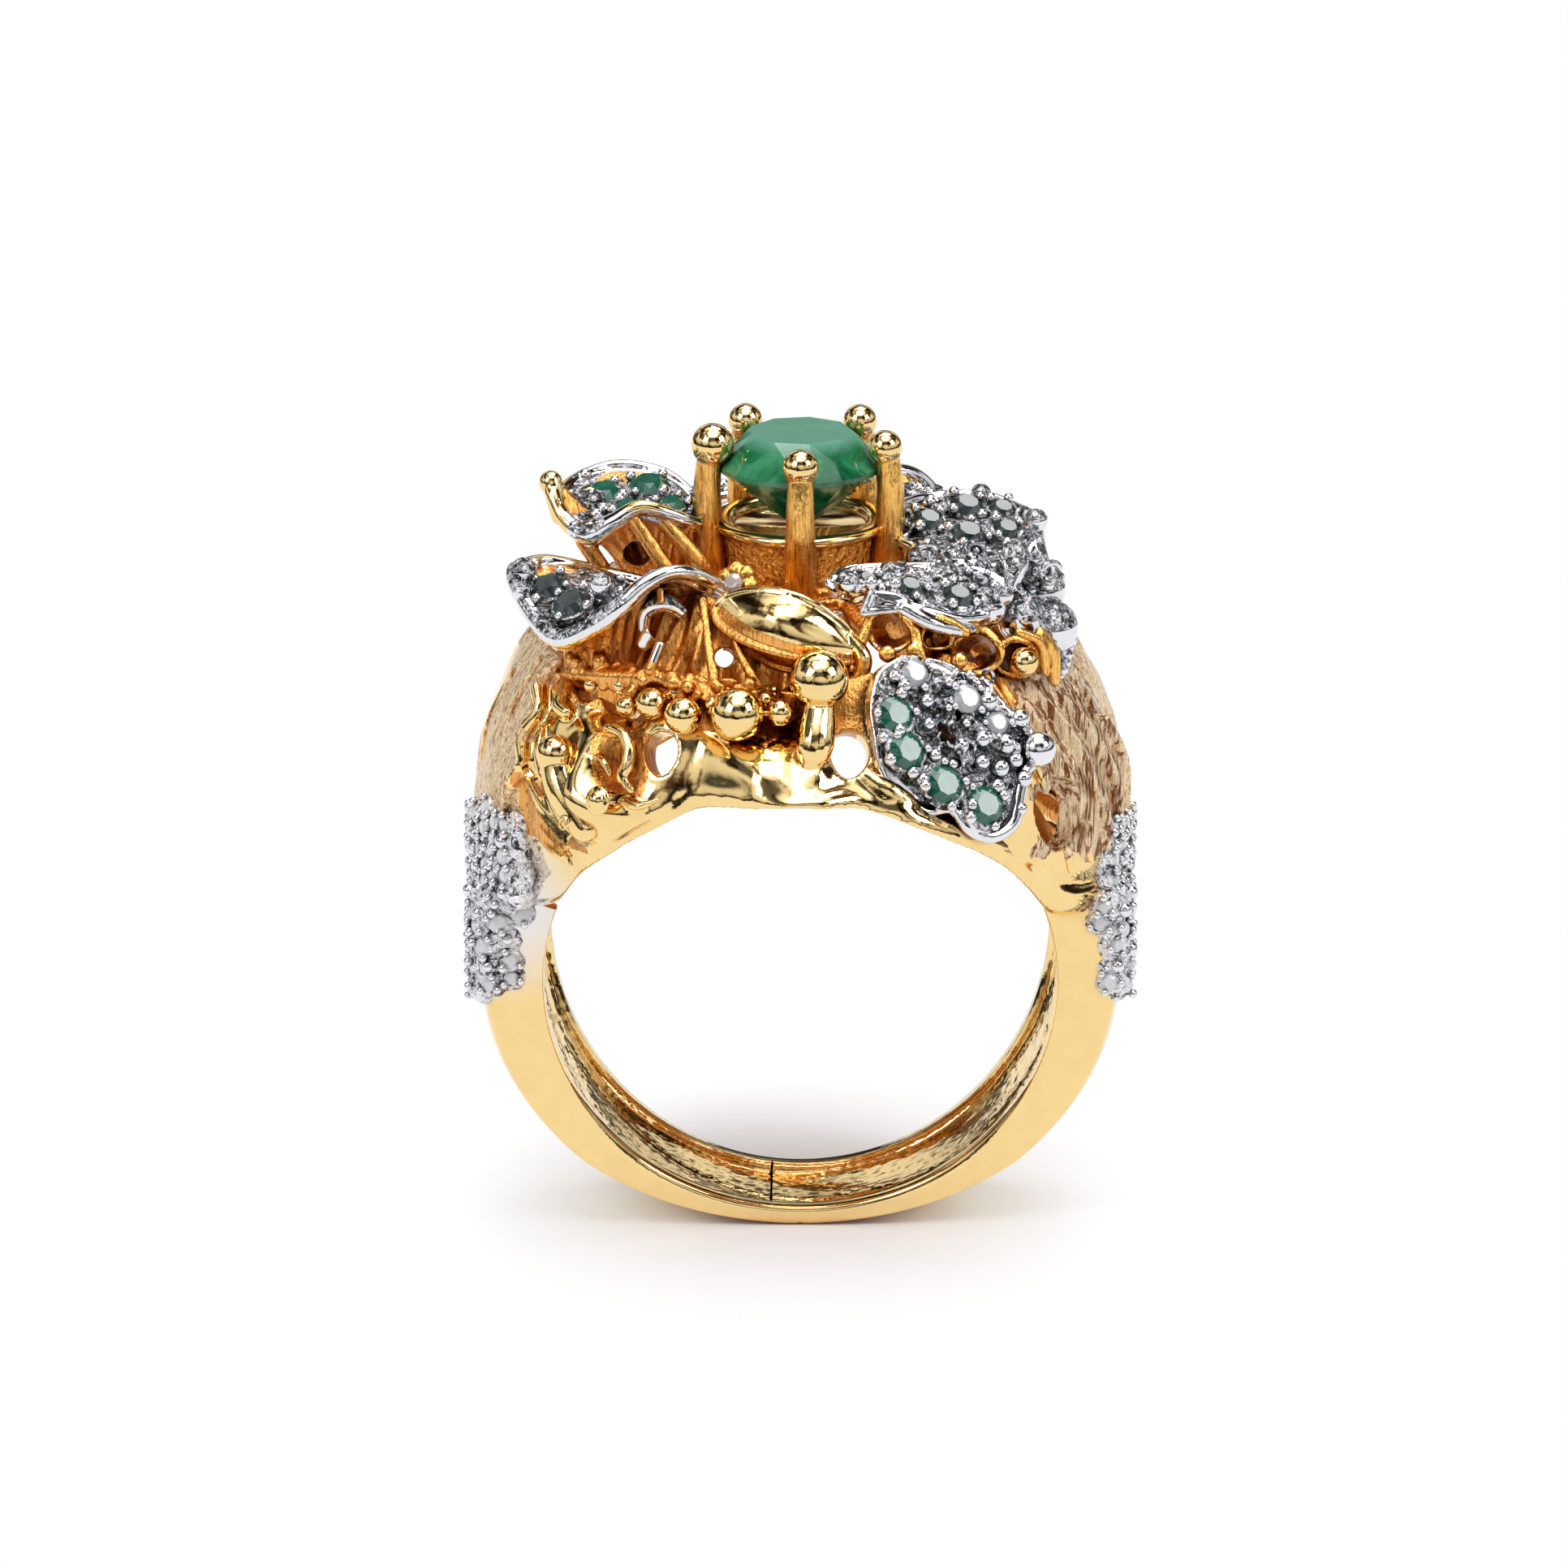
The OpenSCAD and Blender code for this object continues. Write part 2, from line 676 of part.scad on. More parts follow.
// An open scroll beside the front right leaf
module scroll_right() {
    color("gold") difference() {
        translate(spot(322, 0.78, 6.6)) rotate([0, 0, 322 + 90]) rotate([90, 0, 0]) {
            curl(1.5, 2, 0.5, 10, 170);
            translate([1.5, 0, 0]) sphere(d = 0.6 * ball_d);
        }
        dome_shell();
        struts();
        at_mid_right() linear_extrude(leaf_t, center = true) lobed(LMR);
        at_front_right() front_leaf_blank();
    }
}

// Balls along the wall's top edge: [direction, height over the edge, share of the ball size]
BERRIES = [[3.5, 0.95, 1.05], [-12, 0.04, 0.95], [-23, -0.12, 0.66], [-31, 0.2, 0.55],
    [-2.5, 0.12, 0.5]];
module berry_row(az) {
    for (b = BERRIES)
        translate(on_dome(az + b[0], asin((wall_top + b[1]) / dome_r), 0.1))
            sphere(d = b[2] * ball_d);
}
module berries_front() { color("gold") difference() { berry_row(270); leaf_front_right(); } }
module berries_back() {
    color("gold") difference() {
        berry_row(90);
        leaf_back();
        green_stones_back();
        beads_back();
    }
}

// A long polished knob with a rivet beside it
module knob_left_solid() {
    rod(on_dome(221, 22, 0.2), on_dome(226, 9, 0.1), 1.25, 0.8);
    translate(on_dome(221, 22, 0.2)) sphere(d = 1.35);
    translate(on_dome(232, 14, 0)) sphere(d = 0.85);
}
module knob_left() { color("gold") difference() { knob_left_solid(); shoulder_left(); } }

// A small round flower boss by the front claw, with one clear stone
boss_r = foot_r + 1.77;
module at_boss() {
    place([boss_r * cos(245), boss_r * sin(245), collar_z], 245, 62) children();
}
module boss_front() {
    color("gold") difference() {
        at_boss() difference() {
            union() {
                cylinder(r1 = 0.5, r2 = 0.85, h = 0.8);
                translate([0, 0, -2.1]) cylinder(r = 0.3, h = 2.2);
            }
            translate([0, 0, 0.75]) small_stone(small_stone_d);
        }
        strut_spider();
        basket_foot_hoop();
        all_claws();
    }
}
module boss_stone() {
    color("whitesmoke") at_boss() translate([0, 0, 0.75]) small_stone(small_stone_d);
}

// ---- Stone-set leaves on the outside of the shoulders ----

PAVE = [[0.5, 2.3, 1.4], [-0.6, 0.9, 1.7], [0.5, -0.6, 1.5], [0.1, -2.2, 1]];
PAVE_STONES = [for (i = [0:3]) for (s = [-1, 1])
    [0.1 + s * 0.62 + 0.35 * sin(90 * i), 2.4 - 1.45 * i]];
module at_pave(az) {
    translate([(bore_r + side_t) * (az > 90 ? -1 : 1), 0, 1.7])
        rotate([0, 0, az + 90]) rotate([90, 0, 0]) children();
}
module pave_leaf(az) {
    difference() {
        at_pave(az) difference() {
            linear_extrude(1.1, center = true) lobed(PAVE);
            translate([0, 0, 0.2]) stones(PAVE_STONES, small_stone_d);
        }
        band();
        dome_shell();
    }
}
module pave_stones(az) { at_pave(az) translate([0, 0, 0.2]) stones(PAVE_STONES, small_stone_d); }
module pave_leaf_left() { color("silver") pave_leaf(188); }
module pave_leaf_right() { color("silver") pave_leaf(-8); }
module pave_stones_left() { color("whitesmoke") pave_stones(188); }
module pave_stones_right() { color("whitesmoke") pave_stones(-8); }

shank_left();
shank_right();
bore_bridge();
shoulder_left();
shoulder_right();
gallery_front();
gallery_back();
strut_spider();
basket_foot_hoop();
basket_collar();
basket_top_hoop();
claw_front();
claw_right();
claw_back_right();
claw_back_left();
claw_left();
centre_stone();
petal_upper_left();
petal_lower_left();
petal_back_left();
petal_back_right();
leaf_upper_right();
leaf_mid_right();
leaf_front_right();
leaf_back();
cup_upper_left();
cup_lower_left();
cup_upper_right();
cup_mid_right();
cup_back_left();
cup_back_right();
scroll_front();
scroll_right();
scroll_back();
boss_front();
boss_stone();
berries_front();
berries_back();
knob_left();
pave_leaf_left();
pave_leaf_right();
pave_stones_left();
pave_stones_right();
green_stones_upper_left();
grey_stones_lower_left();
grey_stones_upper_right();
grey_stones_mid_right();
green_stones_front();
clear_stones_front();
green_stones_back_left();
grey_stones_back_right();
green_stones_back();
beads_upper_left();
beads_lower_left();
beads_upper_right();
beads_mid_right();
beads_front();
beads_back();
beads_back_left();
beads_back_right();
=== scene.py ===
"""Looks of the cocktail ring: cast gold and rhodium, cut stones, a pale studio floor.

Lengths are written in millimetres in the ring's own frame (finger along Y, stone up,
front towards -Y) and turned into metres when a mesh is made.
"""
import random
from math import (asin, atan2, copysign, cos, degrees, dist, exp, hypot, pi, radians,
                  sin, sqrt)

import bpy
import numpy as np
from mathutils import Matrix, Vector


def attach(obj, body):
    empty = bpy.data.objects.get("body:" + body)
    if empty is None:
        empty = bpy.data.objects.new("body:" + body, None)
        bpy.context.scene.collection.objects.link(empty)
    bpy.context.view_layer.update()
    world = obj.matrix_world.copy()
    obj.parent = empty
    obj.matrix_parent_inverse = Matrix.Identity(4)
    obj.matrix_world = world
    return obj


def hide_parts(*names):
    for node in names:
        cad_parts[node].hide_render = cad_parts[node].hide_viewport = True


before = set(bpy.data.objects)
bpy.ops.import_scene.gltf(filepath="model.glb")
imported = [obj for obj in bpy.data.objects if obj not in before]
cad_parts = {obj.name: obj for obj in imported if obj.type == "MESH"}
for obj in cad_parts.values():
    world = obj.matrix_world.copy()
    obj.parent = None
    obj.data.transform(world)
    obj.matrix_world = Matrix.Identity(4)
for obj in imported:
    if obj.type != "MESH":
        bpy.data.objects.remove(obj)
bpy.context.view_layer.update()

MM = 0.001

# ---- Driving sizes, as in the CAD source ----
BORE_R = 8.65
DOME_R = 11.05
DOME_Z = 5.0
BAND_T = 0.64
SIDE_T = 2.25
BAND_HALF = 2.45
SIDE_HALF = 3.9
GIRDLE_R = 2.78
GIRDLE_Z = 17.15
CLAW_AZ = {"claw_front": 270, "claw_right": 340, "claw_back_right": 48,
           "claw_back_left": 128, "claw_left": 193}

# ---- Small geometry helpers ----


def polar(az, r, z):
    """The point at direction az (degrees) and distance r from the head's axis."""
    a = radians(az)
    return np.array([r * cos(a), r * sin(a), z])


def dome(az, el, out=0.0):
    """A point on the head's dome at direction az and elevation el, standing out by out."""
    e = radians(el)
    r = DOME_R + out
    return polar(az, r * cos(e), DOME_Z + r * sin(e))


def unit(v):
    """The vector at length one."""
    v = np.asarray(v, float)
    return v / max(np.linalg.norm(v), 1e-9)


def basis(origin, out, up):
    """A 4x4 matrix whose z is out, whose y is up made square to it."""
    z = unit(out)
    x = unit(np.cross(up, z))
    y = np.cross(z, x)
    m = np.eye(4)
    m[:3, 0], m[:3, 1], m[:3, 2], m[:3, 3] = x, y, z, origin
    return m


def wall_frame(az, el, out=0.0):
    """Local frame on the dome: x to the viewer's right, y up the wall, z outward."""
    p = dome(az, el, out)
    return basis(p, p - np.array([0, 0, DOME_Z]), (0, 0, 1))


def moved(part, m):
    """A (points, faces) part carried by a 4x4 matrix."""
    pts, faces = part
    return pts @ m[:3, :3].T + m[:3, 3], faces


def joined(parts):
    """Several parts as one."""
    pts, faces, n = [], [], 0
    for p, f in parts:
        pts.append(p)
        faces += [[i + n for i in face] for face in f]
        n += len(p)
    return np.vstack(pts), faces


def grid(points, wrap_u=False, wrap_v=False, caps=False):
    """Faces over an array of points with shape (u, v, 3)."""
    nu, nv = points.shape[:2]
    faces = []
    for i in range(nu if wrap_u else nu - 1):
        for j in range(nv if wrap_v else nv - 1):
            a, b = i, (i + 1) % nu
            c, d = j, (j + 1) % nv
            faces.append([a * nv + c, a * nv + d, b * nv + d, b * nv + c])
    if caps:
        faces.append([j for j in range(nv)][::-1])
        faces.append([(nu - 1) * nv + j for j in range(nv)])
    return points.reshape(-1, 3), faces


def turns(n):
    """The angles of n even steps round a circle."""
    return np.linspace(0, 2 * pi, n, endpoint=False)


def circle(r, z, n):
    """n points round the z axis, at distance r and height z."""
    t = turns(n)
    return np.stack([r * np.cos(t), r * np.sin(t), np.full(n, z)], 1)


def solid(rings):
    """A closed body over a run of rings, with both ends capped."""
    return grid(np.array(rings), wrap_v=True, caps=True)


def sleeve(rings):
    """A closed body over a run of rings that comes back to the first."""
    return grid(np.array(rings), wrap_u=True, wrap_v=True)


def smooth_path(points, steps=8):
    """A Catmull-Rom curve through a few points; the extra columns, such as a radius, follow."""
    p = np.asarray(points, float)
    p = np.vstack([2 * p[0] - p[1], p, 2 * p[-1] - p[-2]])
    out = []
    for i in range(1, len(p) - 2):
        for s in range(steps):
            t = s / steps
            out.append(0.5 * (2 * p[i] + (p[i + 1] - p[i - 1]) * t
                              + (2 * p[i - 1] - 5 * p[i] + 4 * p[i + 1] - p[i + 2]) * t ** 2
                              + (3 * p[i] - p[i - 1] - 3 * p[i + 1] + p[i + 2]) * t ** 3))
    out.append(p[-2])
    return np.array(out)


def tube(points, sides=16, flat=1.0, closed=False, steps=8):
    """A rounded rod through points [x, y, z, radius]; flat squashes it in one direction."""
    path = smooth_path(points, steps) if steps > 1 else np.asarray(points, float)
    centre, radius = path[:, :3], np.maximum(path[:, 3], 0.01)
    if closed:
        tangent = np.roll(centre, -1, 0) - np.roll(centre, 1, 0)
    else:
        tangent = np.gradient(centre, axis=0)
        # round ends
        t0, t1 = unit(tangent[0]), unit(tangent[-1])
        lead = [sin(a) for a in np.linspace(0.1, 1.3, 5)]
        fall = [cos(a) for a in np.linspace(0.1, 1.3, 5)]
        head = [(centre[0] - t0 * radius[0] * f, radius[0] * s) for s, f in zip(lead, fall)]
        tail = [(centre[-1] + t1 * radius[-1] * f, radius[-1] * s) for s, f in zip(lead, fall)]
        centre = np.vstack([[h[0] for h in head], centre, [t[0] for t in tail[::-1]]])
        radius = np.concatenate([[h[1] for h in head], radius, [t[1] for t in tail[::-1]]])
        tangent = np.vstack([[t0] * 5, tangent, [t1] * 5])
    side = np.array((0.13, 0.21, 0.97))
    ang = turns(sides)
    rings = []
    for c, r, t in zip(centre, radius, tangent):
        t = unit(t)
        # the side carried over from the ring before, made square to this one's direction
        side = side - t * side.dot(t)
        if np.linalg.norm(side) < 1e-3:
            side = np.cross(t, (1, 0, 0))
        side = unit(side)
        n = np.cross(t, side)
        rings.append(c + r * (np.outer(np.cos(ang), n) + flat * np.outer(np.sin(ang), side)))
    return grid(np.array(rings), wrap_u=closed, wrap_v=True, caps=not closed)


def ball(centre, r, n=16):
    """A round ball of n latitude rings, with tiny flats at its poles."""
    pts, faces = solid([circle(r * sin(a), r * cos(a), 2 * n)
                        for a in np.linspace(0.08, pi - 0.08, n)])
    return pts + np.asarray(centre, float), [f[::-1] for f in faces]


def balls_at(n, *table):
    """Balls of n rings from rows of x, y, z and radius."""
    return [ball(row[:3], row[3], n) for row in table]


def lathe(profile, sides=64):
    """A solid of revolution about z from (r, z) points, first and last on the axis."""
    return solid([circle(r, z, sides) for r, z in profile])


def brilliant(r, crown, girdle, depth, table=0.6, n=8):
    """A round cut stone: table, star, kite and girdle facets above, mains below."""
    def ring(k, rad, z, turn=0.0):
        return [[rad * cos(2 * pi * (i + turn) / k),
                 rad * sin(2 * pi * (i + turn) / k), z] for i in range(k)]
    pts = (ring(n, r * table, crown) + ring(n, r * (0.5 + table / 2) * 1.02, crown * 0.52, 0.5)
           + ring(2 * n, r, girdle / 2) + ring(2 * n, r, -girdle / 2)
           + ring(n, r * 0.42, -depth * 0.62, 0.5) + [[0, 0, -depth]])
    t0, s0, g0, l0, p0 = 0, n, 2 * n, 4 * n, 6 * n
    faces = [list(range(n))]
    for i in range(n):
        j = (i + 1) % n
        k, m = 2 * i, 2 * n
        faces.append([t0 + i, s0 + i, t0 + j])
        faces.append([t0 + j, s0 + i, g0 + (k + 2) % m, s0 + j])
        faces.append([s0 + i, g0 + k, g0 + (k + 1) % m])
        faces.append([s0 + i, g0 + (k + 1) % m, g0 + (k + 2) % m])
        faces.append([p0 + i, l0 + (k + 1) % m, l0 + k])
        faces.append([p0 + i, l0 + (k + 2) % m, l0 + (k + 1) % m])
        faces.append([p0 + i, p0 + j, l0 + (k + 2) % m])
        faces.append([p0 + i, len(pts) - 1, p0 + j])
    for i in range(2 * n):
        j = (i + 1) % (2 * n)
        faces.append([g0 + i, l0 + i, l0 + j, g0 + j])
    return np.array(pts, float), faces


# ---- Turning parts into pieces ----


def mesh_from(part, name):
    """New mesh data from a (points, faces) part."""
    mesh = bpy.data.meshes.new(name)
    mesh.from_pydata([tuple(p) for p in part[0]], [], part[1])
    mesh.validate()
    mesh.update()
    return mesh


def baked(obj):
    """The object's mesh with its modifiers applied, as new data; the object is removed."""
    bpy.context.view_layer.update()
    graph = bpy.context.evaluated_depsgraph_get()
    mesh = bpy.data.meshes.new_from_object(obj.evaluated_get(graph))
    bpy.data.objects.remove(obj)
    return mesh


def temp(part, name="temp"):
    """A short-lived object that modifiers can work on."""
    obj = bpy.data.objects.new(name, mesh_from(part, name))
    bpy.context.scene.collection.objects.link(obj)
    return obj


def fused(parts, voxel=0.08, smooth=4, cuts=None):
    """Overlapping closed parts melted into one casting, with rounded meeting lines.

    cuts are closed parts taken out of it. voxel is the mesh size in millimetres, and smooth
    the number of smoothing steps.
    """
    obj = temp(joined(parts))
    step = obj.modifiers.new("melt", "REMESH")
    step.mode, step.voxel_size = "VOXEL", voxel
    cutter = None
    if cuts:
        cutter = temp(joined(cuts), "cutter")
        carve = obj.modifiers.new("cut", "BOOLEAN")
        carve.operation, carve.object, carve.solver = "DIFFERENCE", cutter, "FAST"
        again = obj.modifiers.new("again", "REMESH")
        again.mode, again.voxel_size = "VOXEL", voxel
    if smooth:
        soft = obj.modifiers.new("soft", "SMOOTH")
        soft.factor, soft.iterations = 0.5, smooth
    mesh = baked(obj)
    if cutter:
        bpy.data.objects.remove(cutter)
    return mesh


def piece(name, source, material, replaces=(), smooth=True, also=()):
    """A finished piece in metres that rides on the ring, in the given material.

    also holds further materials, each followed by a test of a face's centre and normal. A
    face gets the last material whose test it meets.
    """
    mesh = source if isinstance(source, bpy.types.Mesh) else mesh_from(source, name)
    mesh.name = name
    mesh.materials.clear()
    mesh.materials.append(material)
    for k in range(0, len(also), 2):
        mesh.materials.append(also[k])
    if also:
        for face in mesh.polygons:
            for k in range(0, len(also), 2):
                if also[k + 1](face.center, face.normal):
                    face.material_index = k // 2 + 1
    mesh.transform(Matrix.Scale(MM, 4))
    if smooth:
        mesh.shade_smooth()
    else:
        mesh.shade_flat()
    obj = bpy.data.objects.new(name, mesh)
    bpy.context.scene.collection.objects.link(obj)
    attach(obj, "root")
    if replaces:
        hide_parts(*replaces)
    return obj


def cast(node, source, material, also=()):
    """The metal piece that stands for one CAD node."""
    return piece(node + "_cast", source, material, (node,), also=also)


def cut(node, stones, material, slot):
    """The seated stones that stand for one CAD node."""
    piece(node + "_cut", seated(stones), material, (node,), smooth=False)


# ---- Materials ----


class Tree:
    """Short calls that add nodes to one shader tree."""

    def __init__(self, tree):
        self.tree = tree

    def add(self, kind, **settings):
        node = self.tree.nodes.new(kind)
        for key, value in settings.items():
            setattr(node, key, value)
        return node

    def link(self, a, b):
        self.tree.links.new(a, b)

    def ramp(self, fac, stops):
        """A colour or value ramp; stops are (position, colour)."""
        node = self.add("ShaderNodeValToRGB")
        while len(node.color_ramp.elements) < len(stops):
            node.color_ramp.elements.new(0.5)
        for element, (place, colour) in zip(node.color_ramp.elements, stops):
            element.position = place
            colour = (colour,) * 3 if isinstance(colour, (int, float)) else colour
            element.color = (*colour, 1)
        self.link(fac, node.inputs["Fac"])
        return node.outputs["Color"]

    def multiply(self, a, b):
        """The product of two colour sockets."""
        node = self.add("ShaderNodeMix", data_type="RGBA", blend_type="MULTIPLY")
        node.inputs[0].default_value = 1
        self.link(a, node.inputs[6])
        self.link(b, node.inputs[7])
        return node.outputs[2]

    def part_of(self, value, low, high):
        """Where value stands between low and high, from 0 to 1."""
        node = self.add("ShaderNodeMapRange")
        node.inputs["From Min"].default_value = low
        node.inputs["From Max"].default_value = high
        self.link(value, node.inputs["Value"])
        return node.outputs["Result"]

    def blend(self, fac, a, b, surface):
        """Shader a where fac is 0 and b where it is 1, as the tree's surface."""
        node = self.add("ShaderNodeMixShader")
        self.link(fac, node.inputs["Fac"])
        self.link(a, node.inputs[1])
        self.link(b, node.inputs[2])
        self.link(node.outputs["Shader"], self.tree.nodes[surface].inputs["Surface"])


class Nodes(Tree):
    """The nodes of one material, with its coordinates in millimetres."""

    def __init__(self, name):
        self.material = bpy.data.materials.new(name)
        self.material.use_nodes = True
        super().__init__(self.material.node_tree)
        self.shader = self.tree.nodes["Principled BSDF"]
        scale = self.add("ShaderNodeVectorMath", operation="SCALE")
        scale.inputs["Scale"].default_value = 1 / MM
        self.link(self.add("ShaderNodeTexCoord").outputs["Object"], scale.inputs[0])
        self.mm = scale.outputs[0]

    def noise(self, scale, detail=3.0, rough=0.5, stretch=None, distortion=0.0):
        """Noise with scale waves to a millimetre."""
        tex = self.add("ShaderNodeTexNoise")
        tex.inputs["Scale"].default_value = scale
        tex.inputs["Detail"].default_value = detail
        tex.inputs["Roughness"].default_value = rough
        tex.inputs["Distortion"].default_value = distortion
        source = self.mm
        if stretch:
            mapping = self.add("ShaderNodeMapping")
            mapping.inputs["Scale"].default_value = stretch
            self.link(self.mm, mapping.inputs["Vector"])
            source = mapping.outputs["Vector"]
        self.link(source, tex.inputs["Vector"])
        return tex.outputs["Fac"]

    def cells(self, scale):
        """Rounded cells, scale of them to a millimetre."""
        tex = self.add("ShaderNodeTexVoronoi")
        tex.inputs["Scale"].default_value = scale
        self.link(self.mm, tex.inputs["Vector"])
        return tex.outputs["Distance"]

    def bump(self, height, depth, strength=1.0, under=None):
        """A bump depth millimetres high."""
        node = self.add("ShaderNodeBump")
        node.inputs["Strength"].default_value = strength
        node.inputs["Distance"].default_value = depth * MM
        self.link(height, node.inputs["Height"])
        if under is not None:
            self.link(under, node.inputs["Normal"])
        return node.outputs["Normal"]

    def mix(self, fac, a, b):
        """Colour a where fac is 0 and b where it is 1; each is a value or a socket."""
        node = self.add("ShaderNodeMix", data_type="RGBA")
        for socket, value in ((node.inputs[0], fac), (node.inputs[6], a), (node.inputs[7], b)):
            if isinstance(value, bpy.types.NodeSocket):
                self.link(value, socket)
            elif isinstance(value, tuple):
                socket.default_value = (*value, 1)
            else:
                socket.default_value = value
        return node.outputs[2]

    def recess(self, reach):
        """How hidden a point is, from 0 in a crevice to 1 in the open."""
        node = self.add("ShaderNodeAmbientOcclusion", samples=6)
        node.inputs["Distance"].default_value = reach * MM
        return node.outputs["AO"]

    def set(self, **values):
        """Sets or links the shader's own sockets, named with _ for a space."""
        for key, value in values.items():
            socket = self.shader.inputs[key.replace("_", " ")]
            if isinstance(value, bpy.types.NodeSocket):
                self.link(value, socket)
            elif isinstance(value, tuple) and len(value) == 3:
                socket.default_value = (*value, 1)
            else:
                socket.default_value = value


def make_metal(name, bright, deep_shade, rough, grain=None, recess_reach=0.6, valley=None,
               whitened=None):
    """A cast metal with fine casting ripples, and painted shade of its second colour in its
    crevices.

    rough is the roughness between which the metal varies. grain adds a relief, and valley is
    the pair of its heights between which the painted shade in the grain's low parts fades out.
    whitened is a point and a reach within which the metal turns white, as rhodium does.
    """
    m = Nodes(name)
    # painted shade: the second colour laid into crevices by ambient occlusion
    shade = m.ramp(m.recess(recess_reach), [(0.1, deep_shade), (0.85, bright)])
    tone = m.ramp(m.noise(1.4, 4), [(0.3, 0.94), (0.7, 1.0)])
    base = m.multiply(shade, tone)
    roughness = m.ramp(m.noise(6, 5, 0.6), [(0.3, rough[0]), (0.75, rough[1])])
    normal = m.bump(m.noise(2.2, 2), 0.02, 0.5)
    normal = m.bump(m.noise(28, 3), 0.0015, 0.6, normal)
    if grain:
        normal, height = grain(m, normal)
        low, high = valley
        # painted shade in the grain's low parts
        base = m.mix(m.ramp(height, [(low, 0.0), (high, 1.0)]), deep_shade, base)
    if whitened:
        away = m.add("ShaderNodeVectorMath", operation="DISTANCE")
        m.link(m.mm, away.inputs[0])
        point, reach = whitened
        away.inputs[1].default_value = point
        edge = m.ramp(m.part_of(away.outputs["Value"], 0, reach), [(0.3, 0.0), (1.0, 1.0)])
        base = m.mix(edge, WHITENED, base)
    m.set(Base_Color=base, Metallic=1.0, Roughness=roughness, Normal=normal)
    return m.material


def grain_hammered(m, under):
    """Small dents and grains, as on the textured side walls."""
    height = m.noise(4.2, 5, 0.7, stretch=(1.2, 1.2, 0.7), distortion=0.4)
    pits = m.bump(m.cells(5.5), 0.09, 0.9, under)
    return m.bump(height, 0.12, 1.0, pits), height


def grain_wood(m, under):
    """Long upright grooves with fine lines between them."""
    lines = m.noise(3.0, 5, 0.65, stretch=(1.7, 1.7, 0.17), distortion=0.5)
    fine = m.noise(9, 3, 0.6, stretch=(1.5, 1.5, 0.16))
    return m.bump(fine, 0.05, 0.8, m.bump(lines, 0.22, 1.0, under)), lines


def grain_sparkle(m, under):
    """Rough cast skin inside the band."""
    height = m.noise(7, 5, 0.7)
    return m.bump(height, 0.08, 1.0, m.bump(m.cells(9), 0.06, 0.9, under)), height


def grain_brushed(m, under):
    """Fine upright file marks on claws and collar."""
    height = m.noise(6, 4, 0.6, stretch=(1.5, 1.5, 0.22))
    return m.bump(height, 0.05, 0.9, under), height


def grain_pave(m, under):
    """Crowded small grains with gaps, as between set stones; make_metal paints shade into the gaps.
    """
    height = m.noise(3.4, 4, 0.75, distortion=0.8)
    return m.bump(m.cells(4.5), 0.10, 0.9, m.bump(height, 0.16, 1.0, under)), height


WHITENED = (0.80, 0.79, 0.82)
GOLD = (0.96, 0.70, 0.31)
# painted shade: the colours laid into the gold's crevices and grain
GOLD_SHADE = (0.50, 0.17, 0.03)
BROWN_SHADE = (0.28, 0.085, 0.012)
# each metal's second colour is its painted shade, for its crevices and the low parts of its grain
gold = make_metal("polished_gold", GOLD, GOLD_SHADE, (0.04, 0.11))
gold_shoulder = make_metal("shoulder_gold", GOLD, GOLD_SHADE, (0.05, 0.12),
                           whitened=((-10.2, -4.2, 3.4), 4.2))
# gold in painted shade: a darker, browner copy of the gold for faces turned from the light or under
# other parts
gold_in_shade = make_metal("shaded_gold", (0.90, 0.44, 0.12), BROWN_SHADE, (0.10, 0.22),
                       grain_brushed, 1.4, (0.25, 0.5))
gold_brushed = make_metal("brushed_gold", (0.97, 0.56, 0.15), (0.36, 0.11, 0.015), (0.10, 0.22),
                          grain_brushed, 0.6, (0.28, 0.5))
gold_collar = make_metal("collar_gold", (0.93, 0.45, 0.10), (0.32, 0.09, 0.01), (0.12, 0.24),
                         grain_hammered, 0.6, (0.34, 0.5))
gold_hammered = make_metal("hammered_gold", (1.0, 0.76, 0.46), (0.50, 0.21, 0.05),
                           (0.16, 0.30), grain_hammered, 0.6, (0.34, 0.5))
gold_wood = make_metal("wood_grain_gold", (1.0, 0.80, 0.55), (0.26, 0.08, 0.01), (0.12, 0.26),
                       grain_wood, 0.6, (0.43, 0.52))
gold_sparkle = make_metal("rough_cast_gold", (0.86, 0.55, 0.22), (0.26, 0.10, 0.02),
                          (0.16, 0.36), grain_sparkle, 0.6, (0.36, 0.52))
rhodium = make_metal("rhodium", (0.84, 0.84, 0.88), (0.16, 0.15, 0.15), (0.04, 0.12))
rhodium_melted = make_metal("rhodium_melted", (0.90, 0.90, 0.94), (0.035, 0.035, 0.04),
                            (0.05, 0.12), grain_pave, 0.4, (0.40, 0.48))
rhodium_rough = make_metal("rhodium_pave", (0.74, 0.74, 0.79), (0.030, 0.036, 0.030),
                           (0.08, 0.22), grain_pave, 0.5, (0.44, 0.56))


def make_stone(name, cloud, clear, ior, spots, top=None):
    """A cut stone: a cloud of colour inside, spots of it to a millimetre, and a bright polish.

    clear is how far it lets light through. top is the height and colour of a painted reflection
    on the table: above that height the stone is painted paler.
    """
    m = Nodes(name)
    colour = m.ramp(m.noise(spots, 5, 0.62, distortion=0.8), cloud)
    if top:
        height = m.add("ShaderNodeSeparateXYZ")
        m.link(m.mm, height.inputs[0])
        level, pale = top
        # painted reflection on the table: the stone turns paler above the given height
        table_sheen = m.part_of(height.outputs["Z"], level - 0.35, level + 0.15)
        colour = m.mix(table_sheen, colour, pale)
    scratch = m.bump(m.noise(20, 3), 0.0008, 0.5)
    m.set(Base_Color=colour, Roughness=0.02, IOR=ior, Transmission_Weight=clear,
          Coat_Weight=0.2, Coat_Roughness=0.02, Normal=scratch)
    return m.material
